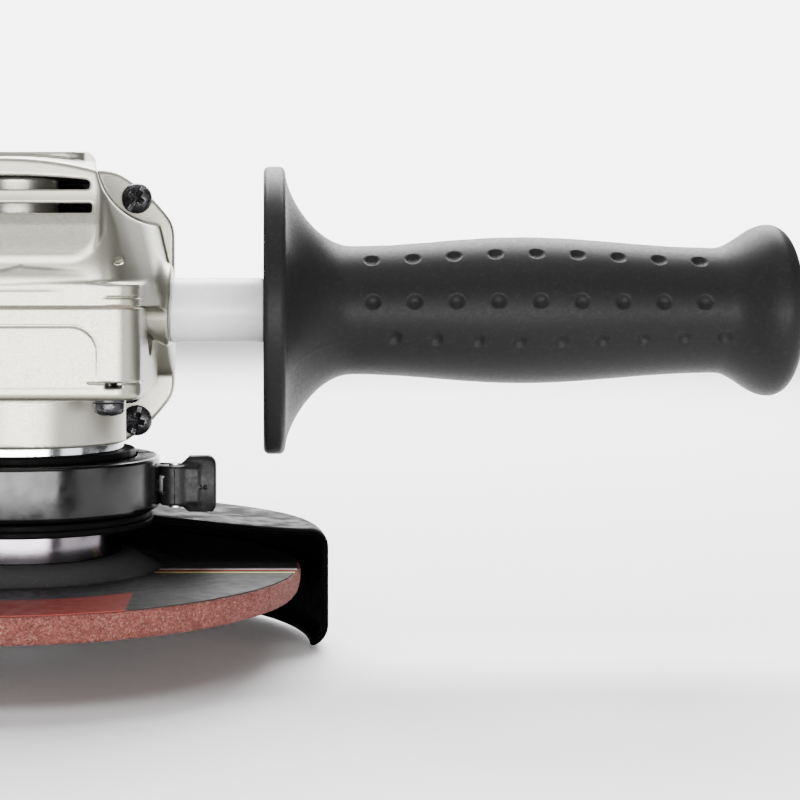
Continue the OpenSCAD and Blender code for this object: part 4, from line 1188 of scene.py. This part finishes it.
def build_body(cell):
    shape = surface(motor_field, even(MOTOR_LOW, MOTOR_HIGH, cell))
    add_piece("motor_housing_moulding", shape, "housing", "motor_housing", "body_plastic")
    for side, node in ((1, "rear_cover_right"), (-1, "rear_cover_left")):
        low, high = span(node)
        shape = surface(lambda x, y, z: rear_field(side, x, y, z), even(low, high, cell))
        add_piece(node + "_moulding", shape, "housing", node, "body_plastic")


def slider_field(x, y, z):
    foot = round_box(x, y - 112.5, z - 29.4, (7, 14.5, 0.62), 0.5)
    pad = round_box(x, y - 112.5, z - 30.6, (5.6, 12.4, 1.3), 1.0)
    top = smooth_union(foot, pad, 0.6)
    for i in range(6):
        rib = round_box(x, y - 103.8 - 3.4 * i, z - 31.5, (4.6, 0.8, 0.9), 0.5)
        top = smooth_union(top, rib, 0.3)
    post = round_box(x, y - 114.75, z - 24.5, (2.5, 2.75, 5), 0.3)
    return smooth_union(top, post, 0.3)


def build_slider(cell):
    low, high = span("switch_slider")
    shape = surface(slider_field, even(low, high, cell))
    add_piece("switch_slider_cap", shape, "switch", "switch_slider", "trim_black")


def build_gland():
    r_in, r_out, end = 4.3, 7.95, TAIL_END - 0.2
    ring = [(r_in, 224.1), (r_out, 224.1), (r_out, 233.2), (r_out - 0.6, end)]
    ring += [(r_in + 1.0, end), (r_in, 233.0)]
    shape = lathe(rounded([(a, b, 0.35) for a, b in ring]), 96, "y")
    add_piece("cord_inlet_gland", shape, "housing", "cord_gland", "gland_rubber")


def build_lock_button():
    top = span("lock_button")[1][2]
    cap = [(2.0, 28.6, 0), (2.6, 28.5, 0.1), (2.6, 27.5, 0.1), (7.5, 27.5, 0.3), (7.5, top - 0.3, 1.3)]
    cap += [(5.0, top, 0.4), (3.8, top - 0.5, 0.3), (0.05, top - 0.6, 0), (0.05, 30.6, 0), (2.0, 30.6, 0)]
    points, faces = lathe(rounded(cap, 5), 96)
    points = points + (0, LOCK_Y, 0)
    add_piece("spindle_lock_cap", (points, faces), "spindle_lock", "lock_button", "trim_black")


# ---- Stage and light ----
def add_stage():
    floor_z = cad_box[0][2] - 0.0005
    size = 3.0
    front = -0.15
    mesh = bpy.data.meshes.new("floor")
    corners = [(-size, front), (size, front), (size, size), (-size, size)]
    mesh.from_pydata([(*corner, floor_z) for corner in corners], [], [(0, 1, 2, 3)])
    f = Finish("floor_pale", (0.93, 0.93, 0.93), 0.6)
    f.tint((0.90, 0.90, 0.90), f.ramp(f.noise(60, 2), 0.4, 0.7, 0, 0.4))
    mesh.materials.append(f.material)
    floor = bpy.data.objects.new("floor", mesh)
    bpy.context.scene.collection.objects.link(floor)


def lamp(name, place, target, size, power):
    """A rectangular soft light at place, facing target, in metres and watts."""
    data = bpy.data.lights.new(name, "AREA")
    data.shape = "RECTANGLE"
    data.size, data.size_y = size
    data.energy = power
    light = bpy.data.objects.new(name, data)
    light.location = place
    light.rotation_euler = (Vector(target) - Vector(place)).to_track_quat("-Z", "Y").to_euler()
    bpy.context.scene.collection.objects.link(light)


def add_lights():
    """A world that is bright behind the object and dimmer in front, and soft lamps round it."""
    world = bpy.data.worlds.new("studio")
    bpy.context.scene.world = world
    world.use_nodes = True
    tree = world.node_tree
    direction = tree.nodes.new("ShaderNodeTexCoord")
    split = tree.nodes.new("ShaderNodeSeparateXYZ")
    tree.links.new(direction.outputs["Generated"], split.inputs[0])
    share = graded(tree, split.outputs["Y"], 0.74, 0.94, 0.14, 6.4)
    level = graded(tree, split.outputs["Z"], -0.45, 0.0, 0.12, 1.0)
    both = tree.nodes.new("ShaderNodeMath")
    both.operation = "MULTIPLY"
    tree.links.new(share, both.inputs[0])
    tree.links.new(level, both.inputs[1])
    tree.links.new(both.outputs[0], tree.nodes["Background"].inputs["Strength"])
    tree.nodes["Background"].inputs["Color"].default_value = (1, 1, 1, 1)
    middle = (0.05, 0.0, -0.02)
    lamp("softbox_front", (0.08, -0.95, -0.06), middle, (1.1, 0.26), 23)
    lamp("softbox_high", (0.05, -0.4, 0.8), middle, (1.0, 0.45), 4)
    lamp("softbox_left", (-0.8, -0.35, 0.3), middle, (0.35, 0.8), 3)
    lamp("softbox_right", (0.8, -0.42, 0.03), middle, (0.4, 0.4), 1.5)
    lamp("softbox_floor", (0.1, 0.9, 1.1), (0.1, 0.25, -0.08), (1.4, 1.0), 95)


# ---- Everything ----
ROUGH = 1.0
build_head(ROUGH)
build_cover(ROUGH)
build_all_screws(0.14 * ROUGH)
build_washers()
build_grip(round(360 / ROUGH))
build_sleeve()
build_guard(round(180 / ROUGH))
build_guard_plate()
build_collar()
build_band()
build_lever(0.2 * ROUGH)
build_disc(round(720 / ROUGH))
build_label()
build_inner_flange()
build_body(0.75 * ROUGH)
build_slider(0.3 * ROUGH)
build_gland()
build_lock_button()
add_stage()
add_lights()
